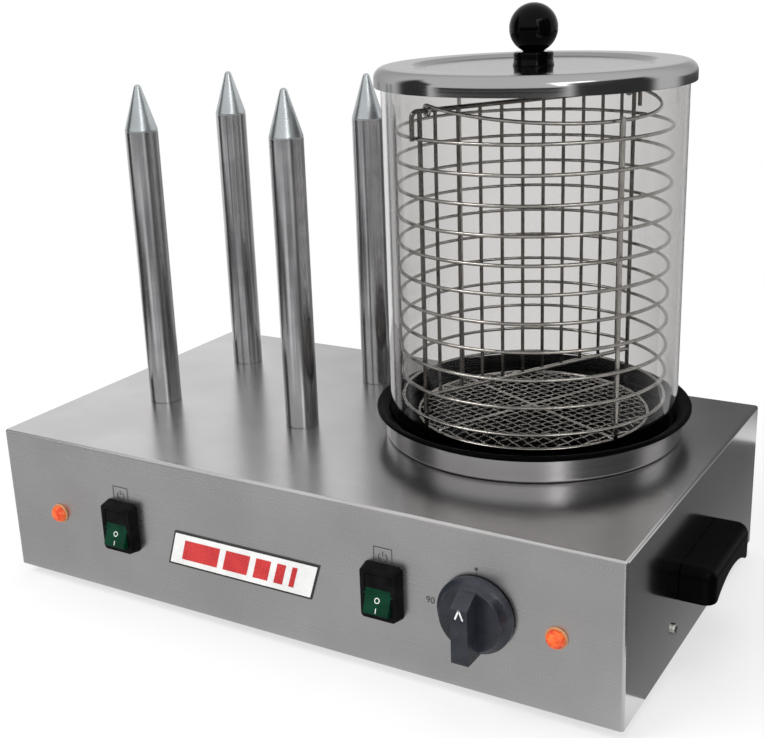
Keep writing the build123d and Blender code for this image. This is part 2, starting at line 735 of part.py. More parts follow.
def rocker(x):
    """Green rocker with two hollowed faces and a pivot pin each side, at rest with its upper end in."""
    disc = Circle(ROCKER_R)
    end = ROCKER_R * 2
    rise = end * sin(radians(ROCKER_SLOPE)) / cos(radians(ROCKER_SLOPE))
    front = Polyline(
        (-ROCKER_BACK, -end),
        (ROCKER_VALLEY + rise, -end),
        (ROCKER_VALLEY, 0),
        (ROCKER_VALLEY + rise, end),
        (-ROCKER_BACK, end),
        close=True,
    )
    outline = disc & make_face(front)
    side_plane = Plane((0, 0, 0), x_dir=(0, 0, 1), z_dir=(1, 0, 0))
    paddle = extrude(side_plane * outline, ROCKER_WIDTH / 2, both=True)
    paddle = fillet(paddle.edges().filter_by(Axis.X).group_by(Axis.Z)[-1], ROCKER_EDGE)
    paddle += Rot(0, 90, 0) * Cylinder(ROCKER_PIN_R, ROCKER_WIDTH + 2 * ROCKER_PIN)
    pivot = Pos(0, 0, SWITCH_PROUD - ROCKER_PIVOT_DEPTH)
    return on_front(x, SWITCH_UP) * pivot * Rot(-ROCKER_TILT, 0, 0) * paddle


def switch_terminals():
    """Brass blades at the backs of both switches."""
    blade = Box(TERMINAL_WIDTH, TERMINAL_SHEET, TERMINAL_LENGTH, align=UNDER_BASE)
    back = Pos(0, 0, -SHEET - SWITCH_BODY_DEPTH)
    return [
        on_front(x, SWITCH_UP) * back * place * blade
        for x in (SWITCH_LEFT_X, SWITCH_RIGHT_X)
        for place in GridLocations(TERMINAL_PITCH_X, TERMINAL_PITCH_Z, 2, 2)
    ]


def name_plate():
    """Blank slanted plate on the front panel."""
    half_width = PLATE_WIDTH / 2
    half_height = PLATE_HEIGHT / 2
    lean = PLATE_SLANT / 2
    outline = Polyline(
        (-half_width - lean, -half_height),
        (half_width - lean, -half_height),
        (half_width + lean, half_height),
        (-half_width + lean, half_height),
        close=True,
    )
    return on_front(PLATE_X, PLATE_UP) * extrude(make_face(outline), PLATE_SHEET)


# Thermostat


def thermostat_screw_places():
    """Left and right of the shaft, under the knob."""
    half = THERMOSTAT_SCREW_PITCH / 2
    return (KNOB_X - half, KNOB_X + half)


def thermostat_body():
    """Thermostat behind the panel: fixing plate, round case and shaft bush."""
    plate = Box(THERMOSTAT_PLATE_WIDTH, THERMOSTAT_PLATE_HEIGHT, THERMOSTAT_PLATE, align=UNDER_BASE)
    case = rod(THERMOSTAT_R, -THERMOSTAT_DEPTH, 0)
    body = Pos(0, 0, -SHEET) * (plate + case)
    body -= rod(SHAFT_R + RUN_GAP, -SHEET - SHAFT_IN_BODY - FIT, 0)
    hole = rod(M4_R + FIT, -SHEET - THERMOSTAT_SCREW_LENGTH, 0)
    body -= [place * hole for place in GridLocations(THERMOSTAT_SCREW_PITCH, 1, 2, 1)]
    return on_front(KNOB_X, KNOB_UP) * body


def thermostat_screws():
    """Screws that hold the thermostat to the panel, hidden under the knob."""
    return [on_front(x, KNOB_UP) * screw(M4_R, THERMOSTAT_SCREW_LENGTH) for x in thermostat_screw_places()]


def thermostat_bulb():
    """Sensing bulb under the dish floor, and its capillary down to the thermostat."""
    y = HOUSING_Y + STEAMER_Y - BULB_OFFSET_Y
    z = TOP_Z + DISH_FLOOR_UP - DISH_SHEET - FIT - BULB_R
    bulb_end = KNOB_X - CAPILLARY_RUN
    thermostat_back = FRONT_Y + SHEET + THERMOSTAT_DEPTH
    run = [
        (bulb_end, y, z),
        (KNOB_X, y, z),
        (KNOB_X, y, BOTTOM_Z + KNOB_UP),
        (KNOB_X, thermostat_back, BOTTOM_Z + KNOB_UP),
    ]
    bends = [CAPILLARY_RUN / 2, CAPILLARY_BEND]
    capillary = bent_wire(run, CAPILLARY_R, bends)
    bulb = Pos(bulb_end - BULB_LENGTH / 2, y, z) * Rot(0, 90, 0) * Cylinder(BULB_R, BULB_LENGTH)
    return bulb + capillary


def thermostat_shaft():
    """Round shaft from the thermostat into the knob."""
    return on_front(KNOB_X, KNOB_UP) * rod(SHAFT_R, -SHEET - SHAFT_IN_BODY, KNOB_GAP + SHAFT_IN_KNOB)


def thermostat_knob():
    """Blue-black knob: skirt with a bevel ring, tapered cap and a raised wing grip, hollow behind."""
    skirt_top = KNOB_GAP + KNOB_SKIRT
    outline = [
        (0, KNOB_GAP),
        (KNOB_SKIRT_R, KNOB_GAP),
        (KNOB_SKIRT_R, skirt_top),
        (KNOB_CAP_BASE_R, skirt_top + KNOB_BEVEL),
        (KNOB_CAP_R, KNOB_CAP),
        (0, KNOB_CAP),
    ]
    knob = turned(outline)
    knob = fillet(knob.edges().group_by(Axis.Z)[-1], KNOB_CAP_EDGE)
    wing_side = Polyline(
        (KNOB_CAP / 2, -WING_BOTTOM),
        (KNOB_PROUD, -WING_BOTTOM),
        (KNOB_PROUD, WING_TOP - WING_SHOULDER),
        (KNOB_CAP + WING_SHOULDER / 2, WING_TOP),
        (KNOB_CAP / 2, WING_TOP),
        close=True,
    )
    side_plane = Plane((0, 0, 0), x_dir=(0, 0, 1), z_dir=(-1, 0, 0))
    wing = extrude(side_plane * make_face(wing_side), WING_WIDTH / 2, both=True)
    wing = fillet(wing.edges().filter_by(Axis.X), WING_EDGE)
    knob += wing
    hollow_r = KNOB_CAP_BASE_R - KNOB_WALL
    knob -= tube(hollow_r, KNOB_HUB_R, KNOB_GAP, KNOB_GAP + KNOB_HOLLOW)
    knob -= rod(SHAFT_R + FIT, KNOB_GAP, KNOB_GAP + SHAFT_IN_KNOB + FIT)
    return on_front(KNOB_X, KNOB_UP) * knob


# Handles


def handle_screw_places():
    """Two screws for each handle, through the end walls."""
    reach = HANDLE_LENGTH / 2 - HANDLE_END / 2
    return [on_side(side, y, HANDLE_UP) for side in (-1, 1) for y in (-reach, reach)]


def handle(side):
    """Black moulded hood, hollow and open below, with an arched lip between two feet."""
    bottom = -HANDLE_HEIGHT / 2
    block = Box(
        HANDLE_PROUD,
        HANDLE_LENGTH,
        HANDLE_HEIGHT,
        align=(Align.MIN, Align.CENTER, Align.CENTER),
    )
    outer = block.edges().group_by(Axis.X)[-1].filter_by(Axis.Z)
    upper = block.edges().group_by(Axis.Z)[-1].sort_by(Axis.X)[1:]
    block = fillet(outer + upper, HANDLE_EDGE)
    hollow_depth = HANDLE_PROUD - HANDLE_WALL
    hollow_length = HANDLE_LENGTH - 2 * HANDLE_END
    hollow_height = HANDLE_HEIGHT - HANDLE_WALL
    hollow = Box(hollow_depth, hollow_length, hollow_height, align=(Align.MIN, Align.CENTER, Align.MIN))
    block -= Pos(0, 0, bottom) * hollow
    arch = Polyline((-hollow_length / 2, 0), (hollow_length / 2, 0))
    bow = ThreePointArc((-hollow_length / 2, 0), (0, HANDLE_ARCH_RISE), (hollow_length / 2, 0))
    lip_plane = Plane((0, 0, bottom), x_dir=(0, 1, 0), z_dir=(1, 0, 0))
    block -= extrude(lip_plane * make_face([*arch.edges(), *bow.edges()]), HANDLE_PROUD)
    reach = HANDLE_LENGTH / 2 - HANDLE_END / 2
    hole = Rot(0, 90, 0) * rod(M5_R + FIT, 0, HANDLE_SCREW_DEPTH + FIT)
    block -= [Pos(0, y, 0) * hole for y in (-reach, reach)]
    if side < 0:
        block = mirror(block, about=Plane.YZ)
    return Pos(side * SIDE_X, HOUSING_Y, BOTTOM_Z + HANDLE_UP) * block


def handle_screws():
    """Screws from inside the housing into the handles' feet."""
    one = Pos(0, 0, -SHEET) * Rot(180, 0, 0) * screw(M5_R, SHEET + HANDLE_SCREW_DEPTH)
    return [place * one for place in handle_screw_places()]


# Mains inlet


def gland_body():
    """Cable gland body: barrel through the rear wall, hexagon flange and outer neck."""
    body = rod(GLAND_BARREL_R, -GLAND_BARREL, 0)
    body += extrude(RegularPolygon(GLAND_FLANGE_ACROSS_FLATS / 2, 6, major_radius=False), GLAND_FLANGE)
    body += rod(GLAND_NECK_R, GLAND_FLANGE, GLAND_FLANGE + GLAND_NECK)
    body -= rod(GLAND_BORE_R, -GLAND_BARREL, GLAND_FLANGE + GLAND_NECK)
    return on_rear(GLAND_X, GLAND_UP) * body


def gland_dome_nut():
    """Domed gland nut over the neck, with the cable bore."""
    nut = rod(GLAND_DOME_R, GLAND_FLANGE, GLAND_PROUD)
    nut = fillet(nut.edges().group_by(Axis.Z)[-1], GLAND_DOME_EDGE)
    nut -= rod(GLAND_NECK_R + FIT, GLAND_FLANGE, GLAND_FLANGE + GLAND_NECK + FIT)
    nut -= rod(CABLE_BORE_R, GLAND_FLANGE, GLAND_PROUD)
    return on_rear(GLAND_X, GLAND_UP) * nut


def gland_locknut():
    """Locknut inside the rear wall."""
    nut = hex_nut(LOCKNUT_ACROSS_FLATS, GLAND_BARREL_R + FIT, -SHEET - LOCKNUT_HEIGHT, -SHEET)
    return on_rear(GLAND_X, GLAND_UP) * nut


def terminal_block():
    """Stepped terminal block on the tray behind the gland."""
    block = Box(BLOCK_LENGTH, BLOCK_DEPTH, BLOCK_HEIGHT, align=ON_BASE)
    step = Box(BLOCK_LENGTH, BLOCK_STEP, BLOCK_STEP, align=(Align.CENTER, Align.MIN, Align.MAX))
    for turn in (0, 180):
        block -= Rot(0, 0, turn) * Pos(0, BLOCK_DEPTH / 2 - BLOCK_STEP, BLOCK_HEIGHT) * step
    bore = Rot(90, 0, 0) * Cylinder(BLOCK_BORE_R, 2 * BLOCK_DEPTH)
    bores = GridLocations(BLOCK_LENGTH / BLOCK_WAYS, 1, BLOCK_WAYS, 1)
    block -= [place * Pos(0, 0, (BLOCK_HEIGHT - BLOCK_STEP) / 2) * bore for place in bores]
    return Pos(GLAND_X, REAR_Y - 2 * GLAND_BARREL - BLOCK_DEPTH, TRAY_Z) * block


CORNER_NAMES = ("front_left", "front_right", "rear_left", "rear_right")
NODES = {
    "housing": housing(),
    "base_tray": base_tray(),
    "foot_screws": foot_screws(),
    "tray_screws": tray_screws(),
    "spike_necks": [place * spike_neck() for place in SPIKES],
    "spike_nuts": [place * spike_nut() for place in SPIKES],
    "spike_heaters": [place * spike_heater() for place in SPIKES],
    "collar_ring": collar_ring(),
    "collar_screws": collar_screws(),
    "water_dish": water_dish(),
    "dish_heater": dish_heater(),
    "dish_clamp_bar": dish_clamp_bar(),
    "dish_clamp_nut": dish_clamp_nut(),
    "glass_cylinder": glass_cylinder(),
    "lid": lid(),
    "lid_knob_collar": lid_knob_collar(),
    "lid_knob": lid_knob(),
    "lid_screw": lid_screw(),
    "basket_rings": basket_rings(),
    "basket_divider": basket_divider(),
    "basket_posts": basket_posts(),
    "basket_bail": basket_bail(),
    "sieve_frame": sieve_frame(),
    "sieve_net": sieve_net(),
    "left_lamp_holder": lamp_holder(LAMP_LEFT_X),
    "right_lamp_holder": lamp_holder(LAMP_RIGHT_X),
    "left_lamp_lens": lamp_lens(LAMP_LEFT_X),
    "right_lamp_lens": lamp_lens(LAMP_RIGHT_X),
    "left_switch_frame": switch_frame(SWITCH_LEFT_X),
    "right_switch_frame": switch_frame(SWITCH_RIGHT_X),
    "left_rocker": rocker(SWITCH_LEFT_X),
    "right_rocker": rocker(SWITCH_RIGHT_X),
    "switch_terminals": switch_terminals(),
    "name_plate": name_plate(),
    "thermostat_body": thermostat_body(),
    "thermostat_screws": thermostat_screws(),
    "thermostat_bulb": thermostat_bulb(),
    "thermostat_shaft": thermostat_shaft(),
    "thermostat_knob": thermostat_knob(),
    "left_handle": handle(-1),
    "right_handle": handle(1),
    "handle_screws": handle_screws(),
    "gland_body": gland_body(),
    "gland_dome_nut": gland_dome_nut(),
    "gland_locknut": gland_locknut(),
    "terminal_block": terminal_block(),
}
for name, spike, stand in zip(CORNER_NAMES, SPIKES, FEET):
    NODES["spike_tube_" + name] = spike * spike_tube()
    NODES["spike_tip_" + name] = spike * spike_tip()
    NODES["foot_" + name] = stand * foot()

os.makedirs("parts", exist_ok=True)
for name, shape in NODES.items():
    if isinstance(shape, list):
        shape = Compound(children=shape)
    export_step(shape, "parts/" + name + ".step")
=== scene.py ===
import math
import bmesh
import bpy
from mathutils import Matrix, Vector


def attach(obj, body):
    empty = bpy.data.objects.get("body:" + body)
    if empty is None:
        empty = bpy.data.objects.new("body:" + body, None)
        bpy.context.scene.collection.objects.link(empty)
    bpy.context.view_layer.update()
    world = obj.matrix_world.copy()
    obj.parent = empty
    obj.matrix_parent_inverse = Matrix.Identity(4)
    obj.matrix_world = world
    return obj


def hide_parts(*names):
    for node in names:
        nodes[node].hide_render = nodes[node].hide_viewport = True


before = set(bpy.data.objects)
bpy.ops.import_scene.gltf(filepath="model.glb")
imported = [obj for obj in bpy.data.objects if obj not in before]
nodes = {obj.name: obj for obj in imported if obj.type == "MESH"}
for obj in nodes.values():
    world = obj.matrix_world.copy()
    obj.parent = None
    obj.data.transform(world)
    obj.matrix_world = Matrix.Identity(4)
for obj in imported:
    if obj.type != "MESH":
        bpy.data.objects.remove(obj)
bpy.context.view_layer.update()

# Housing: a five-sided cover folded from 1 mm stainless sheet, open below.
# The front and the top are brushed along their length, and the two ends are left nearly bright.
WIDTH, DEPTH, HEIGHT = 0.480, 0.280, 0.109
MIDDLE_Y, STAND = 0.001, 0.008
TOP = STAND + HEIGHT
FRONT = MIDDLE_Y - DEPTH / 2
SHEET, FOLD = 0.001, 0.0022


def clear_bench():
    """Leaves edit mode with nothing selected, before the next primitive is added."""
    if bpy.context.object and bpy.context.object.mode == "EDIT":
        bpy.ops.object.mode_set(mode="OBJECT")
    bpy.ops.object.select_all(action="DESELECT")


def take(piece):
    """Makes one piece the only selected and active one, in object mode."""
    clear_bench()
    piece.select_set(True)
    bpy.context.view_layer.objects.active = piece
    return piece


def begin(name, placed=False):
    """Names the primitive just added, puts its place into its mesh if asked and opens it in edit mode."""
    piece = bpy.context.object
    piece.name = name
    if placed:
        bpy.ops.object.transform_apply(location=True, rotation=True, scale=True)
    bpy.ops.object.mode_set(mode="EDIT")
    bpy.ops.mesh.select_mode(type="VERT")
    bpy.ops.mesh.select_all(action="SELECT")
    return piece


def pick(kind, test):
    """In edit mode, selects the verts, edges or faces that pass a test."""
    bpy.ops.mesh.select_mode(type=kind)
    bpy.ops.mesh.select_all(action="DESELECT")
    mesh = bmesh.from_edit_mesh(bpy.context.object.data)
    mesh.normal_update()
    for item in {"VERT": mesh.verts, "EDGE": mesh.edges, "FACE": mesh.faces}[kind]:
        if test(item):
            item.select_set(True)
    mesh.select_flush_mode()
    bmesh.update_edit_mesh(bpy.context.object.data)


def apply_modifier(piece, kind, **settings):
    """Adds one modifier to a piece and applies it."""
    take(piece)
    modifier = piece.modifiers.new(kind.lower(), kind)
    for key, value in settings.items():
        setattr(modifier, key, value)
    bpy.ops.object.modifier_apply(modifier=modifier.name)


def fix_place(piece):
    """Puts a piece's place, turn and scale into its mesh."""
    take(piece)
    bpy.ops.object.transform_apply(location=True, rotation=True, scale=True)
    return piece


def settle(piece, body, finish, stands_for=(), crease=35):
    """Puts a piece's place into its mesh, smooths it, gives it its finish and joins it to its body."""
    fix_place(piece)
    bpy.ops.object.shade_smooth_by_angle(angle=math.radians(crease))
    apply_modifier(piece, "WEIGHTED_NORMAL", mode="FACE_AREA", keep_sharp=True)
    if finish:
        piece.data.materials.clear()
        piece.data.materials.append(finish)
    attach(piece, body)
    if stands_for:
        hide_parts(*stands_for)


def link(source, output, target, socket):
    """Joins two shader nodes of one tree."""
    source.id_data.links.new(source.outputs[output], target.inputs[socket])


def value_math(tree, operation):
    """A shader node that does one sum."""
    node = tree.nodes.new("ShaderNodeMath")
    node.operation = operation
    return node


def value_range(tree, taken=(0.0, 1.0), given=(0.0, 1.0), smooth=False):
    """A shader node that turns one range of values into another."""
    node = tree.nodes.new("ShaderNodeMapRange")
    if smooth:
        node.interpolation_type = "SMOOTHSTEP"
    for socket, value in zip(("From Min", "From Max", "To Min", "To Max"), (*taken, *given)):
        node.inputs[socket].default_value = value
    return node


# Grain: the fine streaks that brushing, turning or moulding leaves, drawn out one way, and slow clouds.
# Every finish on the machine but the glass takes its changes of colour and shine from these two.
CLOUD_RANGE, STREAK_RANGE, RELIEF_DEPTH = (0.35, 0.65), (0.3, 0.7), 0.0002
GRAIN = bpy.data.node_groups.new("surface_grain", "ShaderNodeTree")
for socket, sort in (("Position", "Vector"), ("Stretch", "Vector"), ("Cloud Scale", "Float")):
    GRAIN.interface.new_socket(socket, in_out="INPUT", socket_type="NodeSocket" + sort)
for socket in ("Streak", "Cloud"):
    GRAIN.interface.new_socket(socket, in_out="OUTPUT", socket_type="NodeSocketFloat")
grain_in = GRAIN.nodes.new("NodeGroupInput")
grain_out = GRAIN.nodes.new("NodeGroupOutput")
grain_stretch = GRAIN.nodes.new("ShaderNodeVectorMath")
grain_stretch.operation = "MULTIPLY"
grain_streak = GRAIN.nodes.new("ShaderNodeTexNoise")
grain_streak.inputs["Scale"].default_value = 1.0
grain_streak.inputs["Detail"].default_value = 3.0
grain_cloud = GRAIN.nodes.new("ShaderNodeTexNoise")
grain_cloud.inputs["Detail"].default_value = 4.0
link(grain_in, "Position", grain_stretch, 0)
link(grain_in, "Stretch", grain_stretch, 1)
link(grain_stretch, 0, grain_streak, "Vector")
link(grain_in, "Position", grain_cloud, "Vector")
link(grain_in, "Cloud Scale", grain_cloud, "Scale")
link(grain_streak, 0, grain_out, "Streak")
link(grain_cloud, 0, grain_out, "Cloud")


def grained(name, dark, light, *, metallic, rough, stretch, cloud=25.0, relief=0.0, shine=0.5):
    """A finish whose colour goes from dark to light in clouds and whose roughness follows its grain."""
    material = bpy.data.materials.new(name)
    material.use_nodes = True
    tree = material.node_tree
    shader = tree.nodes["Principled BSDF"]
    shader.inputs["Metallic"].default_value = metallic
    shader.inputs["Specular IOR Level"].default_value = shine
    where = tree.nodes.new("ShaderNodeTexCoord")
    grain = tree.nodes.new("ShaderNodeGroup")
    grain.node_tree = GRAIN
    grain.name = "grain"
    grain.inputs["Stretch"].default_value = stretch
    grain.inputs["Cloud Scale"].default_value = cloud
    link(where, "Object", grain, "Position")
    spread = value_range(tree, CLOUD_RANGE)
    link(grain, "Cloud", spread, "Value")
    colour = tree.nodes.new("ShaderNodeMix")
    colour.data_type = "RGBA"
    colour.name = "colour"
    colour.inputs[6].default_value = (*dark, 1)
    colour.inputs[7].default_value = (*light, 1)
    link(spread, "Result", colour, 0)
    link(colour, 2, shader, "Base Color")
    rub = value_range(tree, STREAK_RANGE, rough)
    rub.name = "rub"
    link(grain, "Streak", rub, "Value")
    link(rub, "Result", shader, "Roughness")
    if relief:
        bump = tree.nodes.new("ShaderNodeBump")
        bump.inputs["Strength"].default_value = relief
        bump.inputs["Distance"].default_value = RELIEF_DEPTH
        link(grain, "Streak", bump, "Height")
        link(bump, "Normal", shader, "Normal")
    return material


HOUSING_STEEL = grained(
    "housing_steel", (0.50, 0.49, 0.49), (0.56, 0.55, 0.55),
    metallic=1.0, rough=(0.26, 0.32), stretch=(7, 1500, 1500), cloud=14.0, relief=0.015,
)
END_ROUGH, TOP_ROUGH = 0.45, 0.85
steel_tree = HOUSING_STEEL.node_tree
steel_where = steel_tree.nodes.new("ShaderNodeTexCoord")
steel_split = steel_tree.nodes.new("ShaderNodeSeparateXYZ")
link(steel_where, "Normal", steel_split, 0)
steel_rough = steel_tree.nodes["rub"]
for axis, kept in (("X", END_ROUGH), ("Z", TOP_ROUGH)):
    facing = value_math(steel_tree, "ABSOLUTE")
    polish = value_range(steel_tree, given=(1.0, kept))
    product = value_math(steel_tree, "MULTIPLY")
    link(steel_split, axis, facing, 0)
    link(facing, 0, polish, "Value")
    link(steel_rough, 0, product, 0)
    link(polish, "Result", product, 1)
    steel_rough = product
link(steel_rough, 0, steel_tree.nodes["Principled BSDF"], "Roughness")

clear_bench()
bpy.ops.mesh.primitive_cube_add(
    size=1, location=(0, MIDDLE_Y, STAND + HEIGHT / 2), scale=(WIDTH, DEPTH, HEIGHT)
)
cover = begin("housing_cover", placed=True)
pick("EDGE", lambda edge: max(v.co.z for v in edge.verts) > TOP - SHEET)
bpy.ops.mesh.bevel(offset=FOLD, segments=5, affect="EDGES")
pick("FACE", lambda face: face.normal.z < -0.9)
bpy.ops.mesh.delete(type="FACE")
clear_bench()
apply_modifier(cover, "SOLIDIFY", thickness=SHEET, offset=-1)
settle(cover, "base", HOUSING_STEEL, ["housing"])

# Base tray: a sheet with two upright ends and vent slots, pushed up into the housing.
# Four screws through the end walls hold it, and four more hold the rubber feet to it.
TRAY_STEEL = grained(
    "tray_steel", (0.42, 0.42, 0.42), (0.52, 0.52, 0.52),
    metallic=1.0, rough=(0.30, 0.42), stretch=(1200, 8, 1200), cloud=20.0, relief=0.03,
)
SCREW_STEEL = grained(
    "screw_steel", (0.45, 0.44, 0.42), (0.62, 0.61, 0.59),
    metallic=1.0, rough=(0.22, 0.38), stretch=(900, 900, 900), cloud=300.0, relief=0.05,
)


def dress(node, finish):
    """Gives a CAD piece its finish."""
    nodes[node].data.materials.clear()
    nodes[node].data.materials.append(finish)


dress("base_tray", TRAY_STEEL)


def open_up(piece):
    """Opens a piece in edit mode with all of it selected."""
    take(piece)
    bpy.ops.object.mode_set(mode="EDIT")
    bpy.ops.mesh.select_all(action="SELECT")


WELD_GAP, FLAT_ANGLE, EDGE_ANGLE = 0.000002, math.radians(0.5), math.radians(40)


def smooth_copy(node, name, edge):
    """A welded copy of a CAD piece, with its sharp edges eased where an edge is given."""
    clear_bench()
    piece = nodes[node].copy()
    piece.data = nodes[node].data.copy()
    for key in list(piece.keys()):
        del piece[key]
    piece.name = name
    piece.parent = None
    bpy.context.scene.collection.objects.link(piece)
    open_up(piece)
    bpy.ops.mesh.remove_doubles(threshold=WELD_GAP)
    bpy.ops.mesh.dissolve_limited(angle_limit=FLAT_ANGLE)
    clear_bench()
    if edge:
        apply_modifier(
            piece,
            "BEVEL",
            width=edge,
            segments=3,
            limit_method="ANGLE",
            angle_limit=EDGE_ANGLE,
            use_clamp_overlap=True,
            harden_normals=False,
        )
    return piece


screw_heads = smooth_copy("tray_screws", "tray_screw_heads", 0.0)
settle(screw_heads, "base", SCREW_STEEL, ["tray_screws"])
# Each screw head gets a thin dark cross for its cross slot. The slot is real, but its darkness is painted
# shade for the slot's recess.
SLOT_PAINTED_SHADE = grained(
    "screw_slot_painted_shade", (0.02, 0.02, 0.02), (0.05, 0.05, 0.05),
    metallic=0.6, rough=(0.5, 0.7), stretch=(900, 900, 900),
)
SCREW_OUT, SCREW_Y, SCREW_UP = 0.00205, 0.051, 0.022
SLOT_DEPTH, SLOT_WIDTH, SLOT_LENGTH = 0.0004, 0.0011, 0.0052
for side, across in (("left", -1), ("right", 1)):
    for end, along in (("front", -1), ("rear", 1)):
        head = (across * (WIDTH / 2 + SCREW_OUT), MIDDLE_Y + along * SCREW_Y, STAND + SCREW_UP)
        clear_bench()
        bpy.ops.mesh.primitive_cube_add(size=1, location=head, scale=(SLOT_DEPTH, SLOT_WIDTH, SLOT_LENGTH))
        cross = begin("screw_cross_%s_%s" % (side, end), placed=True)
        bpy.ops.mesh.duplicate()
        bpy.ops.transform.rotate(value=math.pi / 2, orient_axis="X", center_override=head)
        clear_bench()
        settle(cross, "base", SLOT_PAINTED_SHADE)

# Feet: four tapered discs of black rubber under the tray's corners.
# A screw from inside the tray goes down into each one.
FOOT_RUBBER = grained(
    "foot_rubber", (0.018, 0.018, 0.018), (0.035, 0.034, 0.033),
    metallic=0.0, rough=(0.55, 0.75), stretch=(1400, 1400, 1400), cloud=90.0, relief=0.25,
)


def face_outward():
    """In edit mode, turns every face outward and leaves edit mode."""
    bpy.ops.mesh.select_all(action="SELECT")
    bpy.ops.mesh.normals_make_consistent(inside=False)
    clear_bench()


def turned(name, place, rings, segments, ends):
    """Turns a piece about an upright axis, extruding a circle from ring to ring of radius and height."""
    clear_bench()
    radius, height = rings[0]
    bpy.ops.mesh.primitive_circle_add(
        vertices=segments, radius=radius, location=(place[0], place[1], place[2] + height)
    )
    piece = begin(name)
    for wide, up in rings[1:]:
        bpy.ops.mesh.extrude_region_move(TRANSFORM_OT_translate={"value": (0, 0, up - height)})
        middle = (place[0], place[1], place[2] + up)
        bpy.ops.transform.resize(value=(wide / radius, wide / radius, 1), center_override=middle)
        radius, height = wide, up
    if ends == "joined":
        bpy.ops.mesh.select_all(action="DESELECT")
        bpy.ops.mesh.select_non_manifold(extend=False, use_boundary=True)
        bpy.ops.mesh.bridge_edge_loops()
    if ends == "capped":
        bpy.ops.mesh.select_all(action="SELECT")
        bpy.ops.mesh.fill_holes(sides=0)
    face_outward()
    return piece


CORNERS = {"front_left": (-1, -1), "front_right": (1, -1), "rear_left": (-1, 1), "rear_right": (1, 1)}
FOOT_X, FOOT_Y = 0.206, 0.106
foot_rings = [(0.0098, 0), (0.0107, 0.0003), (0.0112, 0.001), (0.0129, 0.0078), (0.0128, 0.008)]
for corner, (across, along) in CORNERS.items():
    foot_place = (across * FOOT_X, MIDDLE_Y + along * FOOT_Y, 0)
    pad = turned("foot_pad_" + corner, foot_place, foot_rings, 48, "capped")
    settle(pad, "base", FOOT_RUBBER, ["foot_" + corner])

# Bun spikes: four steel tubes with turned aluminium tips, each over a cartridge heater.
# A plug in the foot of the tube has a threaded neck through the top sheet and a nut under it.
SPIKE_STEEL = grained(
    "spike_steel", (0.40, 0.40, 0.41), (0.49, 0.49, 0.50),
    metallic=1.0, rough=(0.16, 0.24), stretch=(1500, 1500, 5), cloud=40.0, relief=0.015,
)
TIP_ALUMINIUM = grained(
    "tip_aluminium", (0.42, 0.45, 0.46), (0.50, 0.53, 0.54),
    metallic=1.0, rough=(0.26, 0.34), stretch=(30, 30, 2500), cloud=60.0,
)
SPIKE_X, SPIKE_Y, HALF_PITCH_X, HALF_PITCH_Y = -0.2292 * WIDTH, MIDDLE_Y + 0.020, 0.064, 0.054
TUBE_UP, TIP_UP = 0.207, 0.240
tube_rings = [
    (0.0105, 0), (0.0113, 0), (0.0113, 0.0005), (0.0118, 0.0006), (0.012, 0.0009),
    (0.012, TUBE_UP - 0.0002), (0.0118, TUBE_UP), (0.0105, TUBE_UP),
]
tip_rings = [
    (0.0104, TUBE_UP - 0.010), (0.0104, TUBE_UP), (0.0115, TUBE_UP), (0.0115, TUBE_UP + 0.0005),
    (0.0119, TUBE_UP + 0.0005), (0.01195, TUBE_UP + 0.0008), (0.0027, TIP_UP - 0.0021),
    (0.0023, TIP_UP - 0.0011), (0.0017, TIP_UP - 0.0005), (0.0010, TIP_UP - 0.0001), (0.0004, TIP_UP),
]
for corner, (across, along) in CORNERS.items():
    foot_of_spike = (SPIKE_X + across * HALF_PITCH_X, SPIKE_Y + along * HALF_PITCH_Y, TOP)
    tube = turned("spike_sleeve_" + corner, foot_of_spike, tube_rings, 64, "joined")
    settle(tube, "base", SPIKE_STEEL, ["spike_tube_" + corner])
    tip = turned("spike_point_" + corner, foot_of_spike, tip_rings, 64, "capped")
    settle(tip, "base", TIP_ALUMINIUM, ["spike_tip_" + corner])

# Collar: a spun steel ring screwed to the top sheet round the dish, brushed round its wall.
# Its inward flange at the bottom is hidden by the dish.
STEAMER = (0.225 * WIDTH, MIDDLE_Y + 0.030, TOP)


def around_axis(material, across, round_scale, up_scale):
    """Turns a finish's grain to run round the steamer's upright axis."""
    tree = material.node_tree
    grain = tree.nodes["grain"]
    where = tree.nodes.new("ShaderNodeTexCoord")
    centre = tree.nodes.new("ShaderNodeMapping")
    centre.inputs["Location"].default_value = (-STEAMER[0], -STEAMER[1], 0)
    split = tree.nodes.new("ShaderNodeSeparateXYZ")
    flat = tree.nodes.new("ShaderNodeCombineXYZ")
    reach = tree.nodes.new("ShaderNodeVectorMath")
    reach.operation = "LENGTH"
    wound = tree.nodes.new("ShaderNodeCombineXYZ")
    link(where, "Object", centre, "Vector")
    link(centre, 0, split, 0)
    link(split, "X", flat, "X")
    link(split, "Y", flat, "Y")
    link(flat, 0, reach, 0)
    link(reach, "Value", wound, "X")
    link(split, "Z", wound, "Z")
    link(wound, 0, grain, "Position")
    grain.inputs["Stretch"].default_value = (across, round_scale, up_scale)
    return material


COLLAR_STEEL = around_axis(
    grained(
        "collar_steel", (0.34, 0.335, 0.335), (0.44, 0.435, 0.435),
        metallic=1.0, rough=(0.20, 0.28), stretch=(1, 1, 1), cloud=40.0, relief=0.03,
    ),
    across=1500,
    round_scale=1,
    up_scale=1500,
)
collar = turned(
    "collar_band",
    STEAMER,
    [
        (0.0903, 0), (0.1015, 0), (0.1026, 0.0004), (0.1033, 0.0013), (0.1035, 0.0024), (0.1035, 0.0147),
        (0.1033, 0.0150), (0.1025, 0.0150), (0.1023, 0.0147), (0.1023, 0.0030), (0.1019, 0.0017),
        (0.1010, 0.0012), (0.0903, 0.0012),
    ],
    128,
    "joined",
)
settle(collar, "base", COLLAR_STEEL, ["collar_ring"])

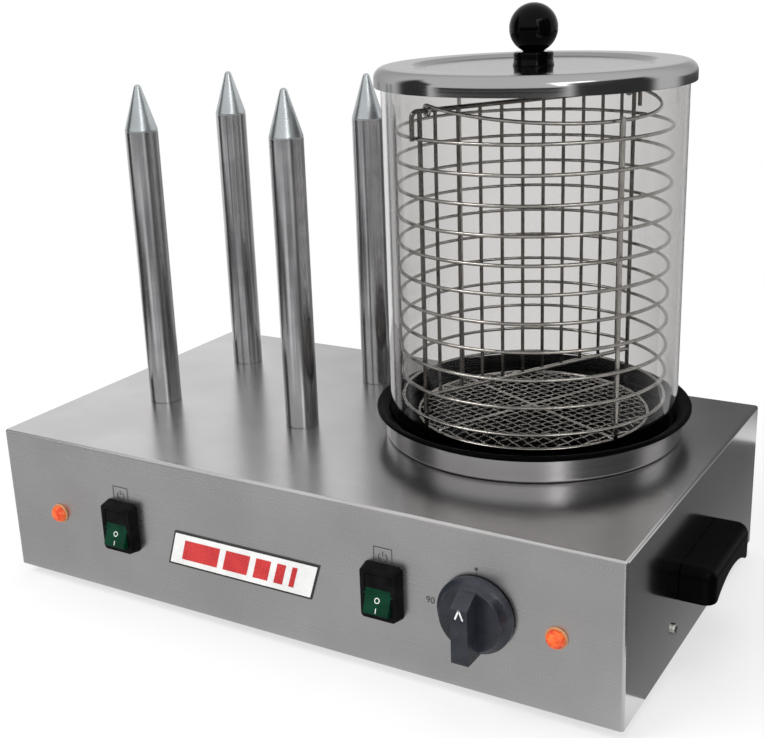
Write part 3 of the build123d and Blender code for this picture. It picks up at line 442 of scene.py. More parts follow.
# Water dish: a pan of pressed sheet with a black coating, a ledge for the glass and a rolled rim.
# A stud under its middle is drawn down by a nut and a clamp bar below the top sheet.
DISH_BLACK = grained(
    "dish_black", (0.0008, 0.0008, 0.001), (0.002, 0.002, 0.0022),
    metallic=0.0, rough=(0.34, 0.44), stretch=(1800, 1800, 1800), cloud=500.0, shine=0.02,
)
DISH_MATT = grained(
    "dish_matt", (0.0010, 0.0010, 0.0012), (0.004, 0.004, 0.0042),
    metallic=0.0, rough=(0.6, 0.8), stretch=(1800, 1800, 1800), cloud=500.0, shine=0.0,
)
LEDGE_R = 0.1004
dish = turned(
    "dish_pan",
    STEAMER,
    [
        (0.0010, 0.0080), (0.0600, 0.0080), (0.0912, 0.0080), (0.0926, 0.0086), (0.0933, 0.0100),
        (0.0940, 0.0114), (0.0954, 0.0120), (0.1004, 0.0120), (0.1004, 0.0154), (0.1010, 0.0168),
        (0.1024, 0.0179), (0.1068, 0.0206), (0.1083, 0.0210), (0.1094, 0.0206), (0.1099, 0.0197),
        (0.1099, 0.0188), (0.1094, 0.0182), (0.1086, 0.0183), (0.1083, 0.0190), (0.1074, 0.0190),
        (0.1032, 0.0166), (0.1021, 0.0155), (0.1019, 0.0145), (0.1019, 0.0110), (0.1015, 0.0105),
        (0.0950, 0.0105), (0.0945, 0.0095), (0.0938, 0.0075), (0.0925, 0.0065), (0.0030, 0.0065),
        (0.0030, -0.0175),
    ],
    128,
    "capped",
)


def two_tone(piece, first, second, test):
    """Gives a piece one finish, and another to the faces that pass a test."""
    piece.data.materials.clear()
    for finish in (first, second):
        piece.data.materials.append(finish)
    for polygon in piece.data.polygons:
        polygon.material_index = int(test(polygon))


two_tone(
    dish,
    DISH_BLACK,
    DISH_MATT,
    lambda polygon: max(dish.data.vertices[corner].co.xy.length for corner in polygon.vertices) < LEDGE_R,
)
settle(dish, "base", None, ["water_dish"])

# Sieve: a wire ring on two crossed wires bent down as feet, with a woven net in it.
# The net rises to the crossed wires and is drawn down to the ring all round.
# It stands loose in the dish, under the basket.
WIRE_CHROME = grained(
    "wire_chrome", (0.34, 0.325, 0.305), (0.46, 0.445, 0.42),
    metallic=1.0, rough=(0.10, 0.18), stretch=(400, 400, 400), cloud=120.0,
)
NET_STEEL = grained(
    "net_steel", (0.54, 0.52, 0.49), (0.68, 0.66, 0.63),
    metallic=1.0, rough=(0.22, 0.34), stretch=(500, 500, 500), cloud=150.0,
)


def close_wire():
    """In edit mode, welds a wire's bends, caps its ends and leaves edit mode."""
    bpy.ops.mesh.select_all(action="SELECT")
    bpy.ops.mesh.remove_doubles(threshold=0.000001)
    bpy.ops.mesh.fill_holes(sides=0)
    face_outward()


def bent_rod(name, radius, start, moves, sides=12):
    """Draws a round wire from a circle: straight moves are extruded and bends are spun."""
    clear_bench()
    bpy.ops.mesh.primitive_circle_add(vertices=sides, radius=radius, location=start)
    rod = begin(name)
    for move in moves:
        if len(move) == 3:
            bpy.ops.mesh.extrude_region_move(TRANSFORM_OT_translate={"value": move})
        else:
            centre, axis, angle, steps = move
            bpy.ops.mesh.spin(steps=steps, angle=-angle, center=centre, axis=axis)
    close_wire()
    return rod


def wire_ring(radius, wire, up):
    """A closed ring of round wire about the middle axis."""
    clear_bench()
    bpy.ops.mesh.primitive_torus_add(
        major_radius=radius, minor_radius=wire, major_segments=128, minor_segments=12, location=(0, 0, up)
    )
    return bpy.context.object


def joined(pieces):
    """Joins pieces into the first one."""
    clear_bench()
    for piece in pieces:
        piece.select_set(True)
    bpy.context.view_layer.objects.active = pieces[0]
    bpy.ops.object.join()
    return pieces[0]


def in_row(piece, count, step):
    """Repeats a piece in a row."""
    apply_modifier(
        piece,
        "ARRAY",
        count=count,
        use_relative_offset=False,
        use_constant_offset=True,
        constant_offset_displace=step,
    )


SIEVE_R, SIEVE_WIRE, SIEVE_UP, SIEVE_BEND = 0.080, 0.0013, 0.0145, 0.002
FLOOR_UP, CROSS_UP = 0.008, 0.0164
SIEVE_TURN = math.radians(-27)
bars = []
for turn in (0, math.pi / 2):
    bar = bent_rod(
        "sieve_bar",
        SIEVE_WIRE,
        (-SIEVE_R, 0, FLOOR_UP),
        [
            (0, 0, CROSS_UP - FLOOR_UP - SIEVE_BEND),
            ((-SIEVE_R + SIEVE_BEND, 0, CROSS_UP - SIEVE_BEND), (0, 1, 0), math.pi / 2, 6),
            (2 * (SIEVE_R - SIEVE_BEND), 0, 0),
            ((SIEVE_R - SIEVE_BEND, 0, CROSS_UP - SIEVE_BEND), (0, 1, 0), math.pi / 2, 6),
            (0, 0, FLOOR_UP + SIEVE_BEND - CROSS_UP),
        ],
    )
    fix_place(bar).rotation_euler = (0, 0, SIEVE_TURN + turn)
    bars.append(bar)
hoop = joined([wire_ring(SIEVE_R, SIEVE_WIRE, SIEVE_UP)] + bars)
hoop.name = "sieve_hoop"
fix_place(hoop).location = STEAMER
settle(hoop, "sieve", WIRE_CHROME, ["sieve_frame"])

NET_PITCH, NET_WIRE, NET_WAVE = 0.0069, 0.00037, 0.0003
NET_RISE, NET_FLAT_R = 0.0024, 0.066
net_count = 2 * int(SIEVE_R / NET_PITCH) + 1
strands = []
for way in (0, 1):
    clear_bench()
    bpy.ops.mesh.primitive_cylinder_add(
        vertices=5,
        radius=NET_WIRE,
        depth=(net_count + 1) * NET_PITCH,
        end_fill_type="NOTHING",
        rotation=(0, math.pi / 2, 0),
    )
    strand = begin("net_strand", placed=True)
    pick("EDGE", lambda edge: abs(edge.verts[0].co.x - edge.verts[1].co.x) > NET_PITCH)
    bpy.ops.mesh.subdivide(number_cuts=2 * net_count + 1)
    clear_bench()
    in_row(strand, net_count, (0, NET_PITCH, 0))
    for vertex in strand.data.vertices:
        row = round(vertex.co.y / NET_PITCH)
        lift = math.cos(math.pi * (vertex.co.x / NET_PITCH + row)) * NET_WAVE
        vertex.co.z += lift if way else -lift
        vertex.co.y -= (net_count - 1) / 2 * NET_PITCH
    strand.rotation_euler = (0, 0, SIEVE_TURN + way * math.pi / 2)
    strands.append(strand)
net = joined(strands)
net.name = "sieve_weave"
fix_place(net)
open_up(net)
pick("VERT", lambda vertex: math.hypot(vertex.co.x, vertex.co.y) > SIEVE_R)
bpy.ops.mesh.delete(type="VERT")
face_outward()
for vertex in net.data.vertices:
    edge = max(0.0, math.hypot(vertex.co.x, vertex.co.y) - NET_FLAT_R) / (SIEVE_R - NET_FLAT_R)
    vertex.co.z += NET_RISE * (1 - edge**2)
net.location = (STEAMER[0], STEAMER[1], STEAMER[2] + SIEVE_UP)
settle(net, "sieve", NET_STEEL, ["sieve_net"], crease=60)

# Basket rings: closed rings of bright wire, one above the other.
# Each is welded to the four posts inside it, with a small bead at every joint.
HOOP_R, HOOP_WIRE, HOOP_LOW = 0.0905, 0.0012, 0.0283
HOOP_PITCH, HOOP_COUNT, BEAD_OUT = 0.0184, 11, 0.0892
DIVIDER_TURN = math.radians(61)


def in_basket(piece, up=0.0):
    """Sets a piece on the steamer's axis, turned as the basket is."""
    piece.location = (STEAMER[0], STEAMER[1], STEAMER[2] + up)
    piece.rotation_euler = (0, 0, DIVIDER_TURN)
    return piece


ring_pieces = [wire_ring(HOOP_R, HOOP_WIRE, HOOP_LOW)]
for quarter in range(4):
    clear_bench()
    way = quarter * math.pi / 2
    bpy.ops.mesh.primitive_uv_sphere_add(
        segments=10,
        ring_count=6,
        radius=HOOP_WIRE,
        location=(BEAD_OUT * math.cos(way), BEAD_OUT * math.sin(way), HOOP_LOW),
    )
    ring_pieces.append(bpy.context.object)
hoops = joined(ring_pieces)
hoops.name = "basket_hoops"
in_row(hoops, HOOP_COUNT, (0, 0, HOOP_PITCH))
fix_place(hoops)
settle(in_basket(hoops), "basket", WIRE_CHROME, ["basket_rings"], crease=60)

# Basket divider: upright wires between a bottom bar and a top bar, with two end posts as legs.
# The top bar's ends are bent down outside the rings. All of it is welded.
# The divider's top bar, legs and uprights are the same bright wire as the rings, drawn in a much darker
# copy of it as painted shade.
WIRE_PAINTED_SHADE = grained(
    "wire_painted_shade", (0.085, 0.078, 0.070), (0.14, 0.128, 0.115),
    metallic=1.0, rough=(0.16, 0.28), stretch=(400, 400, 400), cloud=120.0,
)
BAR_R, BAR_UP, BAR_LOW, POST_OUT, POST_UP = 0.0015, 0.229, 0.042, 0.0877, 0.225
HOOK_OUT, HOOK_BEND, HOOK_LONG, HOOK_SHORT = 0.0933, 0.004, 0.018, 0.012
UPRIGHT_R, UPRIGHT_PITCH, UPRIGHT_COUNT = 0.0012, 0.017, 10
divider = [
    bent_rod(
        "basket_panel",
        BAR_R,
        (-HOOK_OUT, 0, BAR_UP - HOOK_LONG),
        [
            (0, 0, HOOK_LONG - HOOK_BEND),
            ((-HOOK_OUT + HOOK_BEND, 0, BAR_UP - HOOK_BEND), (0, 1, 0), math.pi / 2, 8),
            (2 * (HOOK_OUT - HOOK_BEND), 0, 0),
            ((HOOK_OUT - HOOK_BEND, 0, BAR_UP - HOOK_BEND), (0, 1, 0), math.pi / 2, 8),
            (0, 0, HOOK_BEND - HOOK_SHORT),
        ],
        16,
    )
]


def straight_wire(radius, low, high, chamfer=0.0004, sides=16):
    """An upright wire on the middle axis with eased ends."""
    eased = radius - chamfer
    rings = [(eased, low), (radius, low + chamfer), (radius, high - chamfer), (eased, high)]
    return turned("wire", (0, 0, 0), rings, sides, "capped")


low_bar = straight_wire(BAR_R, -POST_OUT, POST_OUT)
low_bar.rotation_euler = (0, math.pi / 2, 0)
low_bar.location = (-POST_OUT, 0, BAR_LOW)
divider.append(low_bar)
for side in (-1, 1):
    leg = straight_wire(BAR_R, FLOOR_UP, BAR_UP)
    leg.location.x += side * POST_OUT
    divider.append(leg)
for place in range(UPRIGHT_COUNT):
    upright = straight_wire(UPRIGHT_R, BAR_LOW, BAR_UP, sides=12)
    upright.location.x += (place - (UPRIGHT_COUNT - 1) / 2) * UPRIGHT_PITCH
    divider.append(upright)
# All but the bottom bar take the painted shade; the bottom bar keeps the bright wire.
for piece in divider:
    fix_place(piece).data.materials.append(WIRE_CHROME if piece is low_bar else WIRE_PAINTED_SHADE)
panel = joined(divider)
settle(in_basket(panel), "basket", None, ["basket_divider"], crease=60)

# Side posts: two bright upright wires, a quarter turn from the divider's end posts.
# They stand inside the rings, which are welded to them.
posts = []
for side in (-1, 1):
    post = straight_wire(BAR_R, FLOOR_UP, POST_UP)
    post.location.y += side * POST_OUT
    posts.append(fix_place(post))
side_posts = joined(posts)
side_posts.name = "basket_side_posts"
settle(in_basket(side_posts), "basket", WIRE_CHROME, ["basket_posts"], crease=60)

# Bail: the basket's lifting handle, one bent wire whose two eyes turn on the top bar.
# It lies folded down to the front.
BAIL_R, BAIL_WIRE, EYE_R = 0.0825, 0.0012, 0.0031
EYE_TURN, BAIL_LIFT = math.radians(290), math.radians(7)
clear_bench()
bpy.ops.mesh.primitive_circle_add(
    vertices=12, radius=BAIL_WIRE, location=(-BAIL_R, 0, EYE_R), rotation=(math.pi / 2, 0, 0)
)
bail = begin("basket_bow", placed=True)
bpy.ops.mesh.spin(steps=64, angle=-math.pi, center=(0, 0, EYE_R), axis=(0, 0, 1))
for side in (1, -1):
    pick("VERT", lambda vertex: side * vertex.co.x > 0 and abs(vertex.co.y) < 0.0001)
    bpy.ops.mesh.spin(steps=20, angle=EYE_TURN, center=(side * BAIL_R, 0, 0), axis=(1, 0, 0))
close_wire()
bail.rotation_euler = (BAIL_LIFT, 0, 0)
fix_place(bail)
settle(in_basket(bail, BAR_UP), "bail", WIRE_CHROME, ["basket_bail"], crease=60)

# Glass: a clear cylinder with fire-polished edges and a faint film that steam has left on it.
# It stands loose on the dish's ledge.
GLASS_IOR, GLASS_MIRROR, FILM_SCALE = 1.47, 0.08, 35.0
GLASS = bpy.data.materials.new("clear_glass")
GLASS.use_nodes = True
glass_tree = GLASS.node_tree
glass_shader = glass_tree.nodes["Principled BSDF"]
glass_shader.inputs["Transmission Weight"].default_value = 1.0
glass_shader.inputs["IOR"].default_value = GLASS_IOR
glass_shader.inputs["Specular Tint"].default_value = (GLASS_MIRROR, GLASS_MIRROR, GLASS_MIRROR, 1)
glass_where = glass_tree.nodes.new("ShaderNodeTexCoord")
glass_film = glass_tree.nodes.new("ShaderNodeTexNoise")
glass_film.inputs["Scale"].default_value = FILM_SCALE
glass_wipe = value_range(glass_tree, (0.45, 0.75), (0.0, 0.04))
glass_facing = glass_tree.nodes.new("ShaderNodeLayerWeight")
glass_facing.inputs["Blend"].default_value = 0.5
glass_tint = glass_tree.nodes.new("ShaderNodeMix")
glass_tint.data_type = "RGBA"
glass_tint.inputs[6].default_value = (0.80, 0.79, 0.785, 1)
glass_tint.inputs[7].default_value = (0.52, 0.515, 0.51, 1)
link(glass_facing, "Facing", glass_tint, 0)
link(glass_tint, 2, glass_shader, "Base Color")
link(glass_where, "Object", glass_film, "Vector")
link(glass_film, 0, glass_wipe, "Value")
link(glass_wipe, "Result", glass_shader, "Roughness")
glass = turned(
    "glass_sleeve",
    STEAMER,
    [
        (0.0984, 0.0120), (0.0991, 0.0120), (0.0997, 0.0123), (0.1000, 0.0129), (0.1000, 0.2511),
        (0.0997, 0.2517), (0.0991, 0.2520), (0.0984, 0.2520), (0.0978, 0.2517), (0.0975, 0.2511),
        (0.0975, 0.0129), (0.0978, 0.0123),
    ],
    160,
    "joined",
)
settle(glass, "glass", GLASS, ["glass_cylinder"], crease=60)

# Lid: a pressed and polished steel cap with a shallow recess, lying loose on the glass.
# Its skirt hangs over the glass all round.
LID_STEEL = around_axis(
    grained(
        "lid_steel", (0.36, 0.36, 0.365), (0.41, 0.41, 0.415),
        metallic=1.0, rough=(0.10, 0.15), stretch=(1, 1, 1), cloud=18.0,
    ),
    across=900,
    round_scale=1,
    up_scale=900,
)
LID_GLANCE = 0.55
lid_shader = LID_STEEL.node_tree.nodes["Principled BSDF"]
lid_shader.inputs["Specular Tint"].default_value = (LID_GLANCE, LID_GLANCE, LID_GLANCE, 1)


def lid_bend(radius, middle, angles):
    """Rings of the bend between the lid's top and its skirt, about the bend's middle."""
    turns = [math.radians(angle) for angle in angles]
    return [(middle[0] + radius * math.sin(turn), middle[1] + radius * math.cos(turn)) for turn in turns]


lid = turned(
    "lid_cap",
    STEAMER,
    [(0.0027, 0.2510), (0.0735, 0.2510), (0.0752, 0.2512), (0.0790, 0.2526), (0.0810, 0.2530)]
    + lid_bend(0.0070, (0.0975, 0.2460), range(0, 91, 10))
    + [(0.1045, 0.2409), (0.1043, 0.2407), (0.1037, 0.2407), (0.1035, 0.2409)]
    + lid_bend(0.0050, (0.0985, 0.2470), range(90, -1, -10))
    + [(0.0812, 0.2520), (0.0793, 0.2516), (0.0754, 0.2502), (0.0737, 0.2500), (0.0027, 0.2500)],
    128,
    "joined",
)
settle(lid, "lid", LID_STEEL, ["lid"])

# Lid knob: a black moulded ball on a short neck, over a waisted black collar.
# One screw from under the lid goes up through the collar into the ball.
KNOB_BLACK = grained(
    "knob_black", (0.0008, 0.0008, 0.0012), (0.002, 0.002, 0.0026),
    metallic=0.0, rough=(0.05, 0.10), stretch=(300, 300, 300), cloud=80.0, shine=0.08,
)
SEAT_UP, SPOOL_HEIGHT = 0.251, 0.0087
spool = turned(
    "lid_spool",
    STEAMER,
    [
        (0.0030, SEAT_UP), (0.0132, SEAT_UP), (0.0135, SEAT_UP + 0.0004), (0.0129, SEAT_UP + 0.0025),
        (0.0127, SEAT_UP + 0.0044), (0.0129, SEAT_UP + 0.0062), (0.0131, SEAT_UP + 0.0074),
        (0.0128, SEAT_UP + 0.0082), (0.0122, SEAT_UP + 0.0086), (0.0112, SEAT_UP + SPOOL_HEIGHT),
        (0.0030, SEAT_UP + SPOOL_HEIGHT),
    ],
    64,
    "joined",
)
settle(spool, "lid", KNOB_BLACK, ["lid_knob_collar"])
BALL_R, BALL_FOOT, NECK_R, NECK_UP = 0.0158, SEAT_UP + SPOOL_HEIGHT, 0.0070, 0.0005
BALL_START, BALL_SWEEP, BALL_STEPS = -63.7, 153.0, 39
SEAM_DEPTH, SEAM_TILT = 0.00012, 0.03
ball_middle = BALL_FOOT + NECK_UP + math.sqrt(BALL_R**2 - NECK_R**2)
ball_rings = [(0.0068, BALL_FOOT), (NECK_R, BALL_FOOT + 0.0003)]
for step in range(1, BALL_STEPS + 1):
    tilt = math.radians(BALL_START + step * BALL_SWEEP / BALL_STEPS)
    round_r = BALL_R - (SEAM_DEPTH if abs(tilt) < SEAM_TILT else 0)
    ball_rings.append((round_r * math.cos(tilt), ball_middle + round_r * math.sin(tilt)))
ball = turned("lid_ball", STEAMER, ball_rings, 64, "capped")
settle(ball, "lid", KNOB_BLACK, ["lid_knob"])
lid_bolt = smooth_copy("lid_screw", "lid_bolt", 0.0)
settle(lid_bolt, "lid", SCREW_STEEL, ["lid_screw"])

# Pilot lamps: orange neon lenses, faceted inside, each in a small round holder of tan moulding.
# The holder is pushed through the front panel.
LAMP_TAN = grained(
    "lamp_tan", (0.50, 0.22, 0.10), (0.60, 0.30, 0.15),
    metallic=0.0, rough=(0.25, 0.4), stretch=(500, 500, 500), cloud=200.0,
)
LAMP_ORANGE = grained(
    "lamp_orange", (0.55, 0.035, 0.006), (0.80, 0.15, 0.03),
    metallic=0.0, rough=(0.06, 0.12), stretch=(500, 500, 500), cloud=260.0,
)
# The lens colour also glows faintly. This is a painted glow: the lamps are unlit, as no cable is fitted and
# the switches are off.
LAMP_PAINTED_GLOW = 0.30
lamp_tree = LAMP_ORANGE.node_tree
lamp_shader = lamp_tree.nodes["Principled BSDF"]
lamp_shader.inputs["Emission Strength"].default_value = LAMP_PAINTED_GLOW
link(lamp_tree.nodes["colour"], 2, lamp_shader, "Emission Color")


def face_front(piece, x, up, out=0.0):
    """Stands a piece that was made lying flat on the front panel."""
    piece.rotation_euler = (math.pi / 2, 0, 0)
    piece.location = (x, FRONT - out, STAND + up)
    return piece


LAMP_X, LAMP_UP = {"left": -0.4 * WIDTH, "right": 0.4135 * WIDTH}, 0.051
holder_rings = [
    (0.0056, -0.022), (0.0056, 0), (0.0070, 0), (0.0072, 0.0003), (0.0071, 0.0010), (0.0066, 0.0014),
    (0.0050, 0.0014),
]
jewel_rings = [(0.0060, 0.0014), (0.0060, 0.0026), (0.0053, 0.0043), (0.0036, 0.0055), (0.0016, 0.0058)]
for side, x in LAMP_X.items():
    holder = fix_place(turned(side + "_lamp_rim", (0, 0, 0), holder_rings, 48, "capped"))
    settle(face_front(holder, x, LAMP_UP), "base", LAMP_TAN, [side + "_lamp_holder"])
    jewel = fix_place(turned(side + "_lamp_jewel", (0, 0, 0), jewel_rings, 10, "capped"))
    face_front(jewel, x, LAMP_UP)
    settle(jewel, "base", LAMP_ORANGE, [side + "_lamp_lens"], crease=5)

# Rocker switches: black moulded frames clipped into the panel, with dark green rockers in them.
# The upper end is pressed in, which is off. A rocker's upper end is drawn in the frame's black as painted
# shade of its pressed-in end, and its two white marks are below on the green.
FRAME_BLACK = grained(
    "frame_black", (0.003, 0.003, 0.0035), (0.007, 0.007, 0.0075),
    metallic=0.0, rough=(0.28, 0.42), stretch=(1600, 1600, 1600), cloud=120.0, relief=0.05, shine=0.05,
)
ROCKER_GREEN = grained(
    "rocker_green", (0.002, 0.024, 0.012), (0.004, 0.044, 0.022),
    metallic=0.0, rough=(0.08, 0.16), stretch=(300, 300, 300), cloud=90.0, shine=0.06,
)
ROCKER_GREEN.node_tree.nodes["Principled BSDF"].inputs["Coat Weight"].default_value = 0.03
MARK_WHITE = grained(
    "mark_white", (0.70, 0.72, 0.70), (0.82, 0.84, 0.82),
    metallic=0.0, rough=(0.4, 0.6), stretch=(900, 900, 900), cloud=300.0,
)


def flat_ring(name, radius, stroke, sides=40):
    """A flat printed ring."""
    clear_bench()
    bpy.ops.mesh.primitive_circle_add(vertices=sides, radius=radius + stroke / 2)
    piece = begin(name)
    bpy.ops.mesh.extrude_region_move(TRANSFORM_OT_translate={"value": (0, 0, 0)})
    inner = (radius - stroke / 2) / (radius + stroke / 2)
    bpy.ops.transform.resize(value=(inner, inner, 1), center_override=(0, 0, 0))
    face_outward()
    return piece


def flat_bar(name, width, height, x=0.0, y=0.0):
    """A flat printed bar."""
    clear_bench()
    bpy.ops.mesh.primitive_plane_add(size=1, location=(x, y, 0))
    piece = bpy.context.object
    piece.name = name
    piece.scale = (width, height, 1)
    return fix_place(piece)


def upward(piece):
    """Turns a flat print's faces to its front."""
    open_up(piece)
    pick("FACE", lambda face: face.normal.z < 0)
    bpy.ops.mesh.flip_normals()
    clear_bench()
    return piece


SWITCH_X, SWITCH_UP = {"left": -0.273 * WIDTH, "right": 0.172 * WIDTH}, 0.054
GREEN_TOP, LOW_FACE_LEAN = STAND + SWITCH_UP + 0.0040, math.radians(22)
MARK_STROKE, OFF_R, ON_LENGTH = 0.0006, 0.0016, 0.0032
for side, x in SWITCH_X.items():
    bezel = smooth_copy(side + "_switch_frame", side + "_switch_bezel", 0.0008)
    settle(bezel, "base", FRAME_BLACK, [side + "_switch_frame"])
    # Above GREEN_TOP the rocker takes the frame's black: painted shade for its pressed-in upper end.
    paddle = smooth_copy(side + "_rocker", side + "_rocker_paddle", 0.0004)
    open_up(paddle)
    bpy.ops.mesh.bisect(plane_co=(0, 0, GREEN_TOP), plane_no=(0, 0, 1))
    clear_bench()
    two_tone(paddle, ROCKER_GREEN, FRAME_BLACK, lambda polygon: polygon.center.z > GREEN_TOP)
    settle(paddle, side + "_rocker", None, [side + "_rocker"])
    for mark, up, out in (
        (upward(flat_ring(side + "_mark_off", OFF_R, MARK_STROKE)), -0.0032, 0.0090),
        (upward(flat_bar(side + "_mark_on", MARK_STROKE, ON_LENGTH)), -0.0092, 0.0114),
    ):
        face_front(mark, x, SWITCH_UP + up, out)
        mark.rotation_euler = (math.pi / 2 - LOW_FACE_LEAN, 0, 0)
        settle(mark, side + "_rocker", MARK_WHITE)

# Panel print: a power sign in a square outline over each switch, and the thermostat's dot and scale.
# It is dark ink screened on the steel.
PANEL_INK = grained(
    "panel_ink", (0.05, 0.05, 0.05), (0.09, 0.09, 0.09),
    metallic=0.0, rough=(0.45, 0.6), stretch=(900, 900, 900), cloud=300.0,
)
INK_OUT = 0.0002
SIGN_SIDE, SIGN_EDGE, SIGN_UP = 0.0135, 0.0005, 0.0765
POWER_R, POWER_STROKE, POWER_STEM, POWER_GAP = 0.0030, 0.0006, 0.0032, 0.0024
for side, x in SWITCH_X.items():
    outline = flat_bar(side + "_power_sign", SIGN_SIDE, SIGN_SIDE)
    open_up(outline)
    bpy.ops.mesh.inset(thickness=SIGN_EDGE, depth=0)
    bpy.ops.mesh.delete(type="FACE")
    clear_bench()
    ring = flat_ring("power_ring", POWER_R, POWER_STROKE)
    open_up(ring)
    pick("FACE", lambda face: face.calc_center_median().y > POWER_GAP)
    bpy.ops.mesh.delete(type="FACE")
    clear_bench()
    stem = flat_bar("power_stem", POWER_STROKE, POWER_STEM, 0, POWER_GAP)
    sign = upward(joined([outline, ring, stem]))
    settle(face_front(sign, x, SIGN_UP, INK_OUT), "base", PANEL_INK)

# Name plate: a slanted strip of white enamelled metal with a black edge, glued to the panel.
# It is left without words, and has plain slanted red stripes.
PLATE_WHITE = grained(
    "plate_white", (0.78, 0.78, 0.77), (0.86, 0.86, 0.85),
    metallic=0.0, rough=(0.22, 0.34), stretch=(800, 800, 800), cloud=60.0,
)
PLATE_BLACK = grained(
    "plate_black", (0.012, 0.012, 0.012), (0.022, 0.022, 0.022),
    metallic=0.0, rough=(0.25, 0.4), stretch=(800, 800, 800), cloud=60.0,
)
PLATE_RED = grained(
    "plate_red", (0.50, 0.015, 0.018), (0.62, 0.03, 0.03),
    metallic=0.0, rough=(0.22, 0.34), stretch=(800, 800, 800), cloud=60.0,
)
PLATE_X, PLATE_UP, PLATE_W, PLATE_H = -0.0585 * WIDTH, 0.047, 0.119, 0.026
PLATE_THICK, PLATE_EDGE, PLATE_LEAN = 0.0008, 0.0013, 0.004
STRIPE_X, STRIPE_H, STRIPE_OUT = -0.034, 0.0150, 0.00092


def leaning(piece, height):
    """Slants a flat piece, its top to the right."""
    for vertex in piece.data.vertices:
        vertex.co.x += vertex.co.y / height * 2 * PLATE_LEAN
    return piece


clear_bench()
bpy.ops.mesh.primitive_cube_add(
    size=1, location=(0, 0, PLATE_THICK / 2), scale=(PLATE_W, PLATE_H, PLATE_THICK)
)
plate = begin("plate_enamel", placed=True)
pick("FACE", lambda face: face.normal.z > 0.9)
bpy.ops.mesh.inset(thickness=PLATE_EDGE, depth=0)
clear_bench()
leaning(plate, PLATE_H)
WHITE_AREA = 0.002
two_tone(
    plate,
    PLATE_BLACK,
    PLATE_WHITE,
    lambda polygon: polygon.normal.z > 0.9 and polygon.area > WHITE_AREA,
)
settle(face_front(plate, PLATE_X, PLATE_UP), "base", None, ["name_plate"])
stripes = []
for place, wide in ((0, 0.030), (0.030, 0.020), (0.051, 0.012), (0.0655, 0.007), (0.076, 0.004)):
    stripes.append(flat_bar("stripe", wide, STRIPE_H, STRIPE_X + place))
band = upward(leaning(joined(stripes), PLATE_H))
band.name = "plate_stripes"
settle(face_front(band, PLATE_X, PLATE_UP, STRIPE_OUT), "base", PLATE_RED)

# Thermostat knob: a blue-black moulding with a skirt, a tapered cap and a wing grip.
# It is pushed on the thermostat's shaft and has a white arrow moulded near its top.
DIAL_BLACK = grained(
    "dial_black", (0.012, 0.014, 0.021), (0.022, 0.025, 0.036),
    metallic=0.0, rough=(0.24, 0.38), stretch=(1500, 1500, 1500), cloud=100.0, relief=0.10,
)
DIAL_X, DIAL_UP = 0.30625 * WIDTH, 0.054
ARROW_STROKE, ARROW_LENGTH, ARROW_LEAN = 0.0011, 0.0068, math.radians(22)
ARROW_X, ARROW_UP, ARROW_OUT = 0.00125, 0.0105, 0.02404
dial = smooth_copy("thermostat_knob", "dial_grip", 0.0008)
settle(dial, "knob", DIAL_BLACK, ["thermostat_knob"])
arrow = []
for lean in (-1, 1):
    leg = flat_bar("dial_arrow", ARROW_STROKE, ARROW_LENGTH)
    leg.rotation_euler = (0, 0, lean * ARROW_LEAN)
    leg.location = (lean * ARROW_X, ARROW_UP, 0)
    arrow.append(fix_place(leg))
arrow = upward(joined(arrow))
arrow.name = "dial_arrow"
settle(face_front(arrow, DIAL_X, DIAL_UP, ARROW_OUT), "knob", MARK_WHITE)
DOT_UP, NUMBER_SIZE, NUMBER_LEFT, NUMBER_UP = 0.0293, 0.0062, 0.0315, 0.001
dot = flat_ring("dial_dot", 0.0006, 0.00115, 24)
tick = flat_bar("dial_tick", 0.0005, 0.0035, 0, -0.0035)
dot = upward(joined([dot, tick]))
settle(face_front(dot, DIAL_X, DIAL_UP + DOT_UP, INK_OUT), "base", PANEL_INK)
clear_bench()
bpy.ops.object.text_add()
number = bpy.context.object
number.name = "dial_number"
number.data.body = "90"
number.data.size = NUMBER_SIZE
number.data.align_x = "CENTER"
number.data.align_y = "CENTER"
bpy.ops.object.convert(target="MESH")
number = upward(bpy.context.object)
face_front(number, DIAL_X - NUMBER_LEFT, DIAL_UP + NUMBER_UP, INK_OUT)
settle(number, "base", PANEL_INK)

# Carrying handles: black moulded hoods on both ends, hollow and open below, with an arched lip.
# Two screws from inside the housing hold each one.
HANDLE_BLACK = grained(
    "handle_black", (0.0006, 0.0006, 0.0008), (0.0014, 0.0014, 0.0016),
    metallic=0.0, rough=(0.28, 0.38), stretch=(1300, 1300, 1300), cloud=100.0, relief=0.08, shine=0.04,
)
for side in ("left", "right"):
    hood = smooth_copy(side + "_handle", side + "_hood", 0.0012)
    settle(hood, "base", HANDLE_BLACK, [side + "_handle"])

# Mains gland: a black moulded cable gland in the rear wall, with a domed nut and a locknut inside.
# No cable is fitted.
for node in ("gland_body", "gland_dome_nut"):
    moulding = smooth_copy(node, node + "_moulding", 0.0005)
    settle(moulding, "base", FRAME_BLACK, [node])

